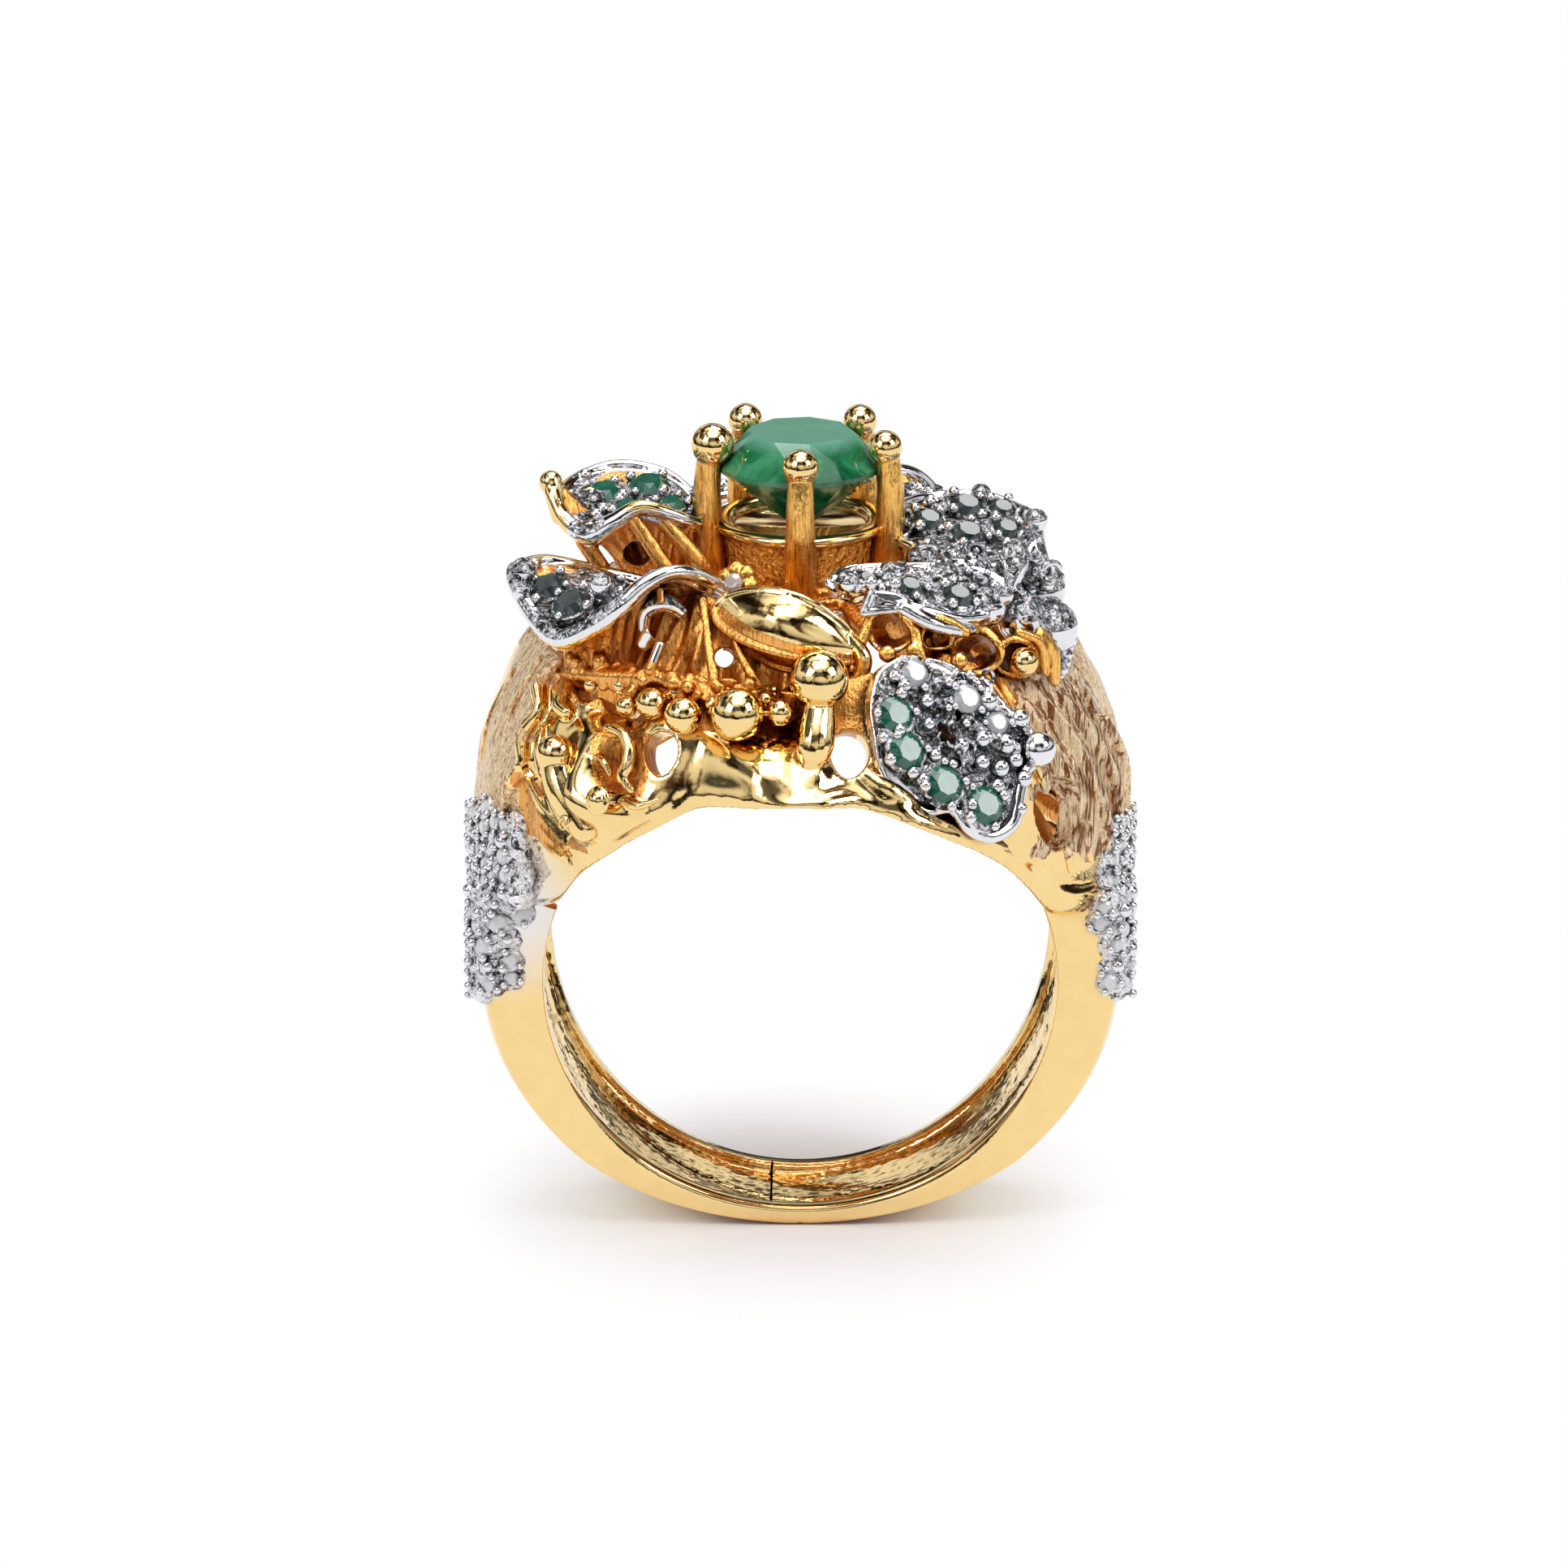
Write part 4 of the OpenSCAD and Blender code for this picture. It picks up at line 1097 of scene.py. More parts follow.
def bed_shell(rim, centre, thick=0.4, wave=0.08):
    """The sheet inside a petal's rim, with an upper and a lower face."""
    path = closed_path(rim)[:, :3]
    centre = np.array(centre, float)
    rings = []
    for share, drop in ([(s, 0) for s in np.linspace(0.04, 1, 10)]
                        + [(s, thick) for s in np.linspace(1, 0.04, 10)]):
        ring = centre + (path - centre) * share
        turn = turns(len(path))
        ring[:, 2] += wave * np.sin(5 * turn) * share - drop
        rings.append(ring)
    return solid(rings)


def cup_shell(rim, root, root_r, flutes=14, depth=0.09, bow=0.75, inner=0.82, rows=14):
    """The fluted funnel from under a petal's rim down to its root."""
    path = closed_path(rim)[:, :3]
    root = np.array(root, float)
    n = len(path)
    heading = np.arctan2(path[:, 1] - root[1], path[:, 0] - root[0])
    foot = np.stack([root[0] + root_r * np.cos(heading), root[1] + root_r * np.sin(heading),
                     np.full(n, root[2])], 1)
    turn = turns(n)
    rings = []
    for scale in (1.0, inner):
        level = []
        for s in np.linspace(0.02, 1, rows):
            ring = path * (1 - s) + foot * s
            mid = ring.mean(0)
            squeeze = 1 - 0.28 * sin(pi * s) ** bow
            flute = 1 + depth * np.cos(flutes * turn) * sin(pi * min(1, s + 0.1))
            off = (ring - mid) * (squeeze * flute * scale)[:, None]
            off[:, 2] = ring[:, 2] - mid[2]
            level.append(mid + off)
        rings.append(level if scale == 1.0 else level[::-1])
    return sleeve(rings[0] + rings[1])


# A small stone's crown, girdle and depth as shares of its radius, and its table's share
SMALL_CUT = (0.42, 0.1, 0.6)
SMALL_TABLE = 0.58


def framed(stones):
    """Each stone's local frame and radius, from ((x, y, z, radius), normal) pairs."""
    return [(basis(place, normal, (0.3, 1, 0.1)), r) for (*place, r), normal in stones]


def seated(stones):
    """Cut stones with their tables along their normals."""
    return joined([moved(brilliant(r, *(f * r for f in SMALL_CUT), SMALL_TABLE), m)
                   for m, r in framed(stones)])


def wire_loop(m, half_x, half_y, z, wire, n, sides):
    """A thin oval ring of wire in a local frame."""
    loop = [[half_x * cos(t), half_y * sin(t), z, wire] for t in turns(n)]
    return moved(tube(loop, sides, closed=True, steps=1), m)


def collars(stones, wire=0.09):
    """A thin setting ring round each stone."""
    return [wire_loop(m, r + 0.02, r + 0.02, -0.04, wire, 18, 8) for m, r in framed(stones)]


def prongs(stones, rnd, each=4, r=0.17):
    """Small round beads that grip each stone's edge."""
    parts = []
    for m, size in framed(stones):
        start = rnd.uniform(0, 6.28)
        for k in range(each):
            t = start + 2 * pi * k / each + rnd.uniform(-0.25, 0.25)
            p = m[:3, :3] @ np.array([(size + 0.07) * cos(t), (size + 0.07) * sin(t),
                                      0.12]) + m[:3, 3]
            parts.append(ball(p, r * rnd.uniform(0.8, 1.25), 8))
    return parts


def scatter(rim, centre, count, rnd, low=0.15, high=0.95, up=0.06):
    """Beads and small open rings strewn over a petal's bed."""
    beads, rings = [], []
    for k in range(count):
        p = bed_point(rim, centre, rnd.random(), sqrt(rnd.uniform(low, high)))
        p = p + (0, 0, up)
        if k % 3:
            beads.append(ball(p, rnd.uniform(0.12, 0.25), 8))
        else:
            loop_r = rnd.uniform(0.2, 0.36)
            facing = (rnd.uniform(-.5, .5), rnd.uniform(-.7, .2), 1)
            m = basis(p + (0, 0, 0.06), facing, (1, 0, 0))
            rings.append(wire_loop(m, loop_r, loop_r * 0.8, 0, 0.085, 12, 7))
    return beads, rings


STONE_LOOKS = {"green": (green_glass, "green_stone"), "grey": (grey_glass, "grey_stone")}


def set_petal(plate, colour, rim, centre, root, root_r, stones, seed, count, extra=(), gilt=None,
              cup_parts=(), cup_cuts=None, bright=None):
    """A whole petal: rim and bed, fluted cup below, stones, and beads that hold them.

    gilt and bright are tests for the faces of the plate that are gold or smooth.
    """
    place = plate.split("_", 1)[1]
    rnd = random.Random(seed)
    loop = closed_path(rim)
    body = [tube(loop, 12, closed=True, steps=1), bed_shell(rim, centre)]
    beads, rings = scatter(rim, centre, count, rnd)
    also = (rhodium_rough, lambda c, n: n[2] > 0.2 and not near_rim(c, loop, 0.3))
    if bright:
        also += (rhodium, bright)
    if gilt:
        also += (gold, gilt)
    cast(plate, fused(body + collars(stones) + list(extra) + rings, 0.055, 2), rhodium,
         also)
    cup = [cup_shell(rim, root, root_r), *cup_parts]
    # the cup under the petal is given the gold in painted shade
    cast("cup_" + place, fused(cup, 0.08, 2, cup_cuts), gold_in_shade)
    cut(f"{colour}_stones_{place}", stones, *STONE_LOOKS[colour])
    cast("beads_" + place, joined(prongs(stones, rnd) + beads), rhodium)


def polished_plate():
    """The smooth four-sided plate at the front of the middle right leaf."""
    corners = [(2.35, -6.85, 14.75), (3.15, -6.95, 14.7), (3.75, -7.05, 14.25),
               (2.05, -7.0, 14.05)]
    plate = []
    for drop in (0.0, 0.3):
        for share in (1.0, 0.5, 0.1) if drop else (0.1, 0.5, 1.0):
            mid = np.mean(corners, 0)
            ring = [mid + (np.array(c) - mid) * share + (0, drop + 0.1 * (share - 1), 0)
                    for c in corners]
            plate.append(smooth_path([(*q, 0) for q in ring + ring[:1]], 6)[:-1, :3])
    return [solid(plate),
            tube([[*corners[0], .12], [*corners[3], .14]], 8),
            tube([[*corners[3], .14], [*corners[2], .14]], 8)]


def on_plate(c, n):
    """Whether a face belongs to the polished plate or the smooth lip beside it."""
    return 1.9 < c[0] < 5.7 and c[1] < -6.7 and c[2] > 13.2


def clumps(low, high, count, seed, ceiling):
    """Melted grains and short curled wires that fill a box between two petals."""
    rnd = random.Random(seed)
    parts = []
    for k in range(count):
        p = np.array([rnd.uniform(a, b) for a, b in zip(low, high)])
        p[2] = min(p[2], ceiling)
        if k % 4:
            parts.append(ball(p, rnd.uniform(.16, .4), 9))
        else:
            a = rnd.uniform(0, 6.28)
            parts.append(tube([[*(p + (.3 * cos(a + t), -.12 * t, .3 * sin(a + t))), .12]
                               for t in np.linspace(0, 4.2, 8)], 8))
    return parts


def flank_ribs():
    """Upright ribs and beads that run from the upper right leaf down the wall."""
    rnd = random.Random(45)
    parts = []
    for k in range(7):
        y = -4.6 + k * 0.8
        top = (7.0 + 0.18 * k - 0.02 * k * k, y + 0.6, 14.4)
        parts.append(tube([[*top, .15], [top[0] + .75, y + .1, 13.2, .17],
                           [top[0] + 1.25, y - .1, 12.1, .17],
                           [top[0] + 1.6, y - .2, 11.2, .12]], 9))
        for i in range(5):
            parts.append(ball((top[0] + .45 + .3 * i, y + .25 - .1 * i + rnd.uniform(-.1, .1),
                               13.85 - .6 * i), rnd.uniform(.14, .26), 8))
    return parts


def near_rim(c, loop, reach):
    """Whether a point is within reach of a rim's line."""
    d = loop[:, :3] - np.array(c)
    return float(np.min((d * d).sum(1))) < reach * reach


def make_petals():
    """The four petals and two leaves that stand round the centre stone."""
    up = (0, -0.2, 1)
    set_petal("petal_upper_left", "green", UPPER_LEFT_RIM, (-5.8, -.1, 15.75),
              (-4.6, -.4, 12.9), 1.1,
              [((-6.56, .5, 16.0, .66), up), ((-5.1, 1, 16.1, .7), up),
               ((-5.7, -1.3, 15.95, .55), up), ((-7.4, -.6, 15.9, .5), up),
               ((-4.3, -.6, 15.9, .5), up)], 31, 16,
              gilt=lambda c, n: c[2] > 16.45 or c[0] < -7.75 or (n[2] < -0.5 and c[2] < 15.9),
              extra=[ball((-8.3, -1.4, 16.9), .4, 12),
                     tube([[-8.25, -1.5, 16.8, .34], [-8.0, -2.1, 15.9, .28]], 10)],
              cup_parts=[tube([[-7.2, -2.5, 15.2, .3], [-6.2, -2.4, 13.6, .3]], 10),
                         tube([[-4.6, -2.7, 16.0, .28], [-3.4, -2.9, 14.6, .34],
                               [-2.7, -2.6, 13.2, .36]], 10),
                         tube([[-5.6, -2.9, 16.2, .24], [-4.4, -3.2, 14.4, .3],
                               [-3.4, -3.2, 13.0, .34]], 10)],
              cup_cuts=[tube([[-5.7, -4.5, 14.7, .5], [-5.4, -1.2, 14.5, .45]], 12)])
    lean = (-.35, -0.45, 1)
    set_petal("petal_lower_left", "grey", LOWER_LEFT_RIM, (-6.4, -4.7, 14.0),
              (-6.6, -4.6, 11.4), 1.3,
              [((-8.3, -4.5, 14.2, .62), lean), ((-7.5, -5.7, 14.0, .66), lean),
               ((-6.3, -4.9, 14.2, .5), lean)], 37, 20,
              extra=[ball((-9.15, -3.9, 14.55), .48, 16), ball((-6.5, -6.5, 14.9), .4, 14),
                     ball((-9.15, -4.75, 14.1), .3, 12),
                     tube([[-5.15, -5.9, 13.2, .2], [-5.05, -5.9, 13.8, .26],
                           [-4.45, -6.0, 14.1, .3], [-3.9, -5.9, 13.75, .24]], 12)],
              gilt=lambda c, n: n[2] < -0.45 and c[2] < 14.4 and c[0] < -5.4,
              cup_cuts=[tube([[-4.6, -9, 13.9, .95], [-4.4, -2, 13.6, .9]], 14),
                        tube([[-3.4, -9, 13.3, .6], [-3.2, -2, 13.1, .6]], 12)])
    right = (.25, -0.4, 1)
    set_petal("leaf_upper_right", "grey", UPPER_RIGHT_RIM, (5.6, -.2, 15.2), (4.9, -.3, 12.6), 1.2,
              [((4.3, -.6, 15.35, .55), right), ((5.6, -1.5, 15.15, .62), right),
               ((6.9, -1.2, 15.2, .5), right), ((5.6, .8, 15.45, .6), right),
               ((6.8, .9, 15.3, .5), right)], 41, 34,
              extra=[ball((7.85, -1.8, 15.7), .4, 14), ball((6.1, 2.1, 15.5), .36, 12),
                     tube([[7.1, -3.5, 15.0, .5], [7.1, -3.8, 14.6, .42],
                           [6.9, -4.2, 14.0, .2]], 14),
                     tube([[7.85, -1.8, 15.7, .22], [8.0, -2.2, 14.8, .2],
                           [8.4, -2.8, 13.6, .18]], 10),
                     *balls_at(12, (5.3, -2.9, 14.5, .45), (6.4, -2.9, 13.7, 1.0),
                               (7.8, -2.2, 13.4, 1.05), (8.3, -3.2, 12.4, .95),
                               (4.2, -2.4, 14.3, .8), (7.3, -4.2, 13.0, .8))]
              + flank_ribs() + clumps((3.6, -3.4, 13.6), (8.6, -2.0, 14.9), 34, 46, 15.2))
    set_petal("leaf_mid_right", "grey", MID_RIGHT_RIM, (4.2, -5.6, 14.4), (4.4, -5, 12.0), 1.1,
              [((3.6, -5.9, 14.6, .5), right), ((5.2, -5.6, 14.2, .55), right),
               ((5.9, -4.4, 14.3, .45), right), ((2.2, -5.7, 14.8, .4), right)], 43, 26,
              extra=[ball((1.55, -6.4, 14.9), .42, 16), ball((4.8, -4.4, 14.3), .7, 12),
                     ball((2.3, -6.7, 15.0), .24, 12), ball((3.1, -6.6, 14.95), .22, 12),
                     *polished_plate(),
                     ball((6.1, -5.2, 13.7), .7, 12), ball((3.0, -4.6, 14.6), .5, 12),
                     *clumps((2.4, -5.4, 13.9), (6.9, -3.2, 14.6), 30, 47, 14.8),
                     tube([[3.4, -7.0, 14.2, .3], [4.3, -7.2, 13.75, .26], [5.1, -6.8, 13.4, .24],
                           [5.6, -6.3, 13.25, .2]], 12)],
              gilt=lambda c, n: n[2] < -0.5 and c[1] < -6.2, bright=on_plate)
    back = (-.2, .4, 1)
    rim = [(-x * .93, -y * 1.02, z - .1, r) for x, y, z, r in MID_RIGHT_RIM]
    set_petal("petal_back_left", "green", rim, (-4.0, 5.7, 14.3), (-4.2, 5, 11.9), 1.1,
              [((-3.4, 6, 14.5, .5), back), ((-4.9, 5.7, 14.1, .6), back),
               ((-5.6, 4.5, 14.2, .45), back)], 47, 22)
    back = (.35, .45, 1)
    rim = [(-x * .78, -y * .98, z - .2, r) for x, y, z, r in LOWER_LEFT_RIM]
    set_petal("petal_back_right", "grey", rim, (5.0, 4.6, 13.9), (5.1, 4.5, 11.4), 1.2,
              [((6.4, 4.4, 14.0, .6), back), ((5.8, 5.6, 13.8, .6), back),
               ((4.9, 4.8, 14.0, .5), back)], 53, 18)


# ---- Leaves on the wall, balls, scrolls and boss ----
# A wall leaf in its own plane: its rim's points, then stones and beads as x, y and radius
LEAF_RIM = [(-1.0, 3.0), (.3, 2.5), (1.4, 1.6), (2.2, .5), (2.9, -.4), (3.0, -1.1),
            (2.3, -1.5), (1.95, -2.2), (1.5, -3.1), (.6, -3.4), (-.2, -3.0), (-.7, -2.3),
            (-1.6, -2.2), (-2.4, -1.3), (-2.8, -.6), (-2.75, .7), (-2.6, 1.6), (-2.0, 2.6)]
LEAF_GREEN = [(-2.0, 1.05, .64), (-1.95, -.2, .66), (-.9, -1.5, .68), (.45, -2.4, .68)]
LEAF_CLEAR = [(-.9, 2.3, .5), (.7, 1.15, .52), (1.6, .2, .42)]
LEAF_BEADS = [(-.8, 1.3, .24), (-.95, .55, .22), (.2, 1.8, .2), (0, -.35, .28), (.65, -1.0, .26),
              (-1.0, -.5, .22), (1.95, -1.1, .28), (.4, .35, .16), (1.05, 1.9, .2),
              (-1.4, 1.95, .24), (-2.6, .4, .2), (-1.6, -1.2, .24), (0, -2.3, .24),
              (1.85, -2.7, .22), (-1.6, 2.3, .2), (1.05, -.25, .24), (2.2, .1, .2),
              (-.45, -.9, .18), (1.3, -1.3, .3), (-.1, .95, .14), (1.7, -.55, .36),
              (1.45, .95, .34), (.85, -.25, .3), (2.15, -1.75, .3), (1.05, -1.85, .26)]


def on_leaf(m, x, y, z):
    """A point of a leaf that hugs the wall, z above its face."""
    sink = 0.035 * (x * x + y * y)
    return m[:3, :3] @ np.array([x, y, z - sink]) + m[:3, 3]


def make_wall_leaf(az, el, names, seed):
    """A set leaf that hugs the wall; without a clear_node its clear stones are green too."""
    plate, green_node, clear_node, bead_node = names
    rnd = random.Random(seed)
    m = wall_frame(az, el, 0.42)
    out = m[:3, 2]
    rim = smooth_path([(*p, 0) for p in LEAF_RIM + LEAF_RIM[:1]], 6)[:-1]
    loop = [[*on_leaf(m, x, y, 0.02 + 0.04 * x), 0.13 + 0.025 * (x - y)] for x, y, _ in rim]
    rings = []
    for shares, drop in ((np.linspace(0.04, 1, 9), 0), (np.linspace(1, 0.04, 9), 0.55)):
        for s in shares:
            rings.append([on_leaf(m, x * s, y * s, -drop) for x, y, _ in rim])
    bed = solid(rings)
    stones = [((*on_leaf(m, x, y, 0.2), r), out) for x, y, r in LEAF_GREEN]
    clear = [((*on_leaf(m, x, y, 0.16), r), out) for x, y, r in LEAF_CLEAR]
    body = [tube(loop, 10, closed=True, steps=1), bed] + collars(stones, .13) + collars(clear, .12)
    body.append(ball(on_leaf(m, 2.75, -.8, 0.1), .5, 14))
    body += [tube([[*on_leaf(m, .05, .6, .1), .12], [*on_leaf(m, -.3, .1, .2), .2],
                   [*on_leaf(m, -.1, -.45, .2), .26], [*on_leaf(m, .3, -.85, .1), .18]], 10),
             tube([[*on_leaf(m, .8, .3, .1), .14], [*on_leaf(m, 1.3, -.4, .22), .24],
                   [*on_leaf(m, 2.0, -.75, .25), .26]], 10)]
    for k in range(16):
        x, y = rnd.uniform(-1.9, 2.2), rnd.uniform(-1.6, 2.5)
        turn = rnd.uniform(0, 6.28)
        size = rnd.uniform(.18, .3)
        frame_k = basis(on_leaf(m, x, y, .12), out + np.array([rnd.uniform(-.4, .4), 0, .2]),
                        (cos(turn), .2, sin(turn)))
        body.append(wire_loop(frame_k, size, .8 * size, 0, .08, 12, 7))
    slot = [punch_at(m, -.35, .1, .17, .45, 12), punch_at(m, .3, .75, .12, .3, -30)]
    line = np.array(loop)
    cast(plate, fused(body, 0.05, 2, slot), rhodium,
         (rhodium_rough, lambda c, n: not near_rim(c, line, 0.26)))
    cut(green_node, stones if clear_node else stones + clear, green_glass, "green_stone")
    if clear_node:
        cut(clear_node, clear, clear_glass, "clear_stone")
    beads = [ball(on_leaf(m, x, y, .2), r, 10) for x, y, r in LEAF_BEADS]
    beads += [ball(on_leaf(m, 2.85, -.9, .42), .6, 18), ball(on_leaf(m, 2.45, .2, .3), .34, 14)]
    beads += prongs(stones, rnd, 4, .17) + prongs(clear, rnd, 4, .13)
    cast(bead_node, joined(beads), rhodium)


def punch_at(m, x, y, half_x, half_y, turn):
    """A rounded slot cutter through a leaf."""
    c, s = cos(radians(turn)), sin(radians(turn))
    rings = []
    for z in (-1.2, 0.8):
        ring = []
        for t in turns(20):
            a, b = half_x * cos(t), half_y * sin(t)
            ring.append(on_leaf(m, x + a * c - b * s, y + a * s + b * c, z))
        rings.append(ring)
    return solid(rings)


# Balls along the wall's upper edge: direction, elevation, radius, standing out
BALLS = [(273.9, 39.3, .98, .62), (257.8, 33.3, .88, .55), (246.7, 32.4, .62, .4),
         (239.0, 33.8, .54, .25), (266.0, 34.4, .46, .2), (251.5, 35.5, .34, -.1),
         (243.0, 36.8, .36, 0), (235.5, 37.5, .34, -.1), (262.5, 37.2, .30, -.2),
         (233.2, 32.5, .36, .2), (229.0, 36.0, .3, 0), (221.5, 34.5, .26, .1),
         (217.5, 37.0, .22, .1)]


def make_balls():
    """The polished balls, the stem under the largest, and the nest of grains behind them."""
    rnd = random.Random(61)
    balls = [ball(dome(a, e, o), r, 20) for a, e, r, o in BALLS]
    balls.append(ray_tube([(273.9, 36, .3, .5), (273.4, 32.5, .3, .6), (272.7, 28.5, .35, .62),
                           (272.0, 25.5, .2, .42)], 16))
    nest = []
    for k in range(22):
        a, e = rnd.uniform(229, 268), rnd.uniform(35.5, 40)
        nest.append(ball(dome(a, e, rnd.uniform(-.9, -.3)), rnd.uniform(.18, .34), 8))
    # the balls' inner faces, towards the head's middle, get the gold in painted shade
    cast("berries_front", fused(balls + nest, 0.05, 2), gold,
         also=(gold_in_shade, lambda c, n: hypot(c[0], c[1]) < 8.2))
    back = [ball(dome(a - 180, e, o), r, 16) for a, e, r, o in BALLS]
    cast("berries_back", fused(back, 0.07, 2), gold)


def spoon(p0, p1, bow, half, steps=28, across=13):
    """A polished petal lying on its side, swelling towards the viewer."""
    p0, p1, bow = np.array(p0, float), np.array(p1, float), np.array(bow, float)
    along = unit(p1 - p0)
    out = unit(bow)
    down = unit(np.cross(along, out))
    front, back = [], []
    for u in np.linspace(0.0, 1, steps):
        mid = p0 + (p1 - p0) * u + bow * sin(pi * u)
        h = half * (0.12 + sin(pi * u ** 0.85) ** 0.62)
        row, rear = [], []
        for v in np.linspace(-1, 1, across):
            swell_out = 0.42 * h * (1 - v * v) - 0.10 * cos(3 * pi * u) * (1 - abs(v))
            p = mid + down * h * v + out * swell_out
            row.append(p)
            rear.append(p - out * 0.28)
        front.append(row)
        back.append(rear[::-1])
    shell = np.concatenate([np.array(front), np.array(back)], axis=1)
    edges = [tube([[*row[end], 0.13] for row in front], 10, steps=1) for end in (-1, 0)]
    return [solid(shell), *edges]


# The polished ball that ends the right scroll
SCROLL_BALL = (7.35, -5.95, 12.05)


def make_scrolls():
    """The front's two spoons, the back's one, and the right scroll of four open cells."""
    front = spoon((-2.8, -6.3, 14.0), (2.0, -7.3, 12.7), (0.1, -0.95, 0.5), 0.9)
    front += spoon((-2.3, -6.4, 13.6), (1.2, -7.3, 12.5), (0.0, -0.75, -0.1), 0.55)
    front += [tube([[1.6, -7.3, 13.3, .26], [2.05, -7.6, 12.7, .3], [1.9, -7.8, 12.1, .26],
                    [1.4, -8.0, 11.8, .18]], 12)]
    # faces turned down or back, and the spoons' lower part, get the gold in painted shade
    cast("scroll_front", fused(front, 0.05, 2), gold, also=(
        gold_in_shade, lambda c, n: n[2] < -0.35 or n[1] > 0.2 or c[2] < 13.35 - 0.3 * c[0]))
    back = spoon((2.6, 6.5, 14.45), (-1.8, 7.3, 12.8), (-0.1, 0.7, 0.15), 0.95)
    cast("scroll_back", fused(back, 0.06, 2), gold)
    parts = []
    for centre, facing, r in (((2.9, -7.0, 13.45), (-.3, -1, .25), .8),
                              ((4.45, -6.8, 13.2), (.3, -1, .9), .55),
                              ((5.8, -6.3, 12.5), (-.2, -1, .3), .82),
                              ((7.15, -5.7, 12.1), (.3, -1, .6), .72)):
        m = basis(centre, facing, (0, 0, 1))
        level = []
        for scale in (1.0, 0.72):
            rows = [[(r * scale * (1.0 - .5 * d) * cos(t) * (1 + .12 * cos(2 * t)),
                      r * scale * (1.0 - .5 * d) * sin(t), -1.1 * r * d
                      + .12 * sin(3 * t))
                     for t in turns(36)]
                    for d in np.linspace(0, 1, 10)]
            level += rows if scale == 1.0 else rows[::-1]
        parts.append(moved(sleeve(level), m))
        rim = [[r * .9 * cos(t) * (1 + .12 * cos(2 * t)), r * .9 * sin(t),
                .12 * sin(3 * t), .12 + .06 * sin(t)]
               for t in turns(36)]
        parts.append(moved(tube(rim, 9, closed=True, steps=1), m))
    parts += [ball(SCROLL_BALL, .5, 18), ball((2.85, -7.6, 12.85), .3, 14),
              ball((3.7, -7.5, 12.95), .26, 12), ball((5.2, -7.2, 12.5), .3, 12),
              tube([[2.2, -6.9, 13.6, .2], [1.9, -7.3, 12.9, .2], [1.7, -7.6, 12.3, .16]], 10),
              tube([[1.2, -6.0, 13.5, .4], [1.5, -6.7, 12.7, .46], [1.7, -7.3, 11.8, .4]], 12),
              tube([[3.6, -6.7, 13.9, .3], [4.6, -6.9, 13.8, .26], [5.4, -6.7, 13.3, .2]], 10),
              tube([[3.75, -7.2, 13.5, .2], [3.9, -7.5, 12.8, .2], [4.2, -7.7, 12.2, .16]], 10),
              tube([[7.9, -5.4, 12.9, .2], [8.3, -5.2, 12.2, .26], [8.4, -5.3, 11.2, .2]], 10),
              tube([[7.2, -6.0, 13.1, .16], [7.9, -5.6, 12.6, .18], [8.1, -5.6, 11.6, .16]], 10)]

    def hollow(c, n):
        # faces turned back or down get the gold in painted shade
        return n[1] > -0.35 or n[2] < -0.2

    cast("scroll_right", fused(parts, 0.055, 2), gold_brushed, also=(
        rhodium, lambda c, n: n[2] > 0.75 and c[0] < 5.4,
        gold_in_shade, hollow, gold, lambda c, n: dist(c, SCROLL_BALL) < .54))


def make_boss_and_knob():
    """The flower boss with its clear stone, and the long knob and rivet on the left."""
    m = basis(polar(245, 4.9, 14.3), (-.45, -1, .35), (0, 0, 1))
    petals = [moved(ball((.45 * cos(t), .45 * sin(t), 0), .3, 10), m)
              for t in turns(7)]
    petals.append(moved(ball((0, 0, 0), .38, 12), m))
    petals.append(tube([[*polar(245, 4.8, 14.2), .25], [*polar(245, 3.6, 13.6), .3]], 10))
    cast("boss_front", fused(petals, 0.045, 1), gold_brushed)
    stone = moved(brilliant(.32, .14, .03, .2), m)
    piece("boss_stone_cut", (stone[0] + m[:3, 2] * .36, stone[1]), clear_glass,
          ("boss_stone",), smooth=False)
    knob = [ray_tube([(222.0, 21.5, .55, .6), (223.0, 19, .5, .56), (225.6, 15.5, .42, .56),
                      (230.0, 11, .15, .5)], 18), ball(dome(222.0, 21.7, .62), .64, 22),
            ball(dome(234.9, 16.5, .95), .34, 18),
            tube([[*dome(234.9 + 1.9 * cos(t), 16.5 + 1.9 * sin(t), .95), .1]
                  for t in turns(16)], 8, closed=True),
            tube([[*dome(227.9 + .8 * cos(t), 11.4 + .9 * sin(t), .78), .06]
                  for t in turns(12)], 8, closed=True)]
    cast("knob_left", fused(knob, 0.05, 2), gold)


# The web's lower and upper height, its front's distance at the foot, and its thickness
WEB_LOW, WEB_HIGH, WEB_R, WEB_T = 11.4, 14.2, 7.75, 0.32


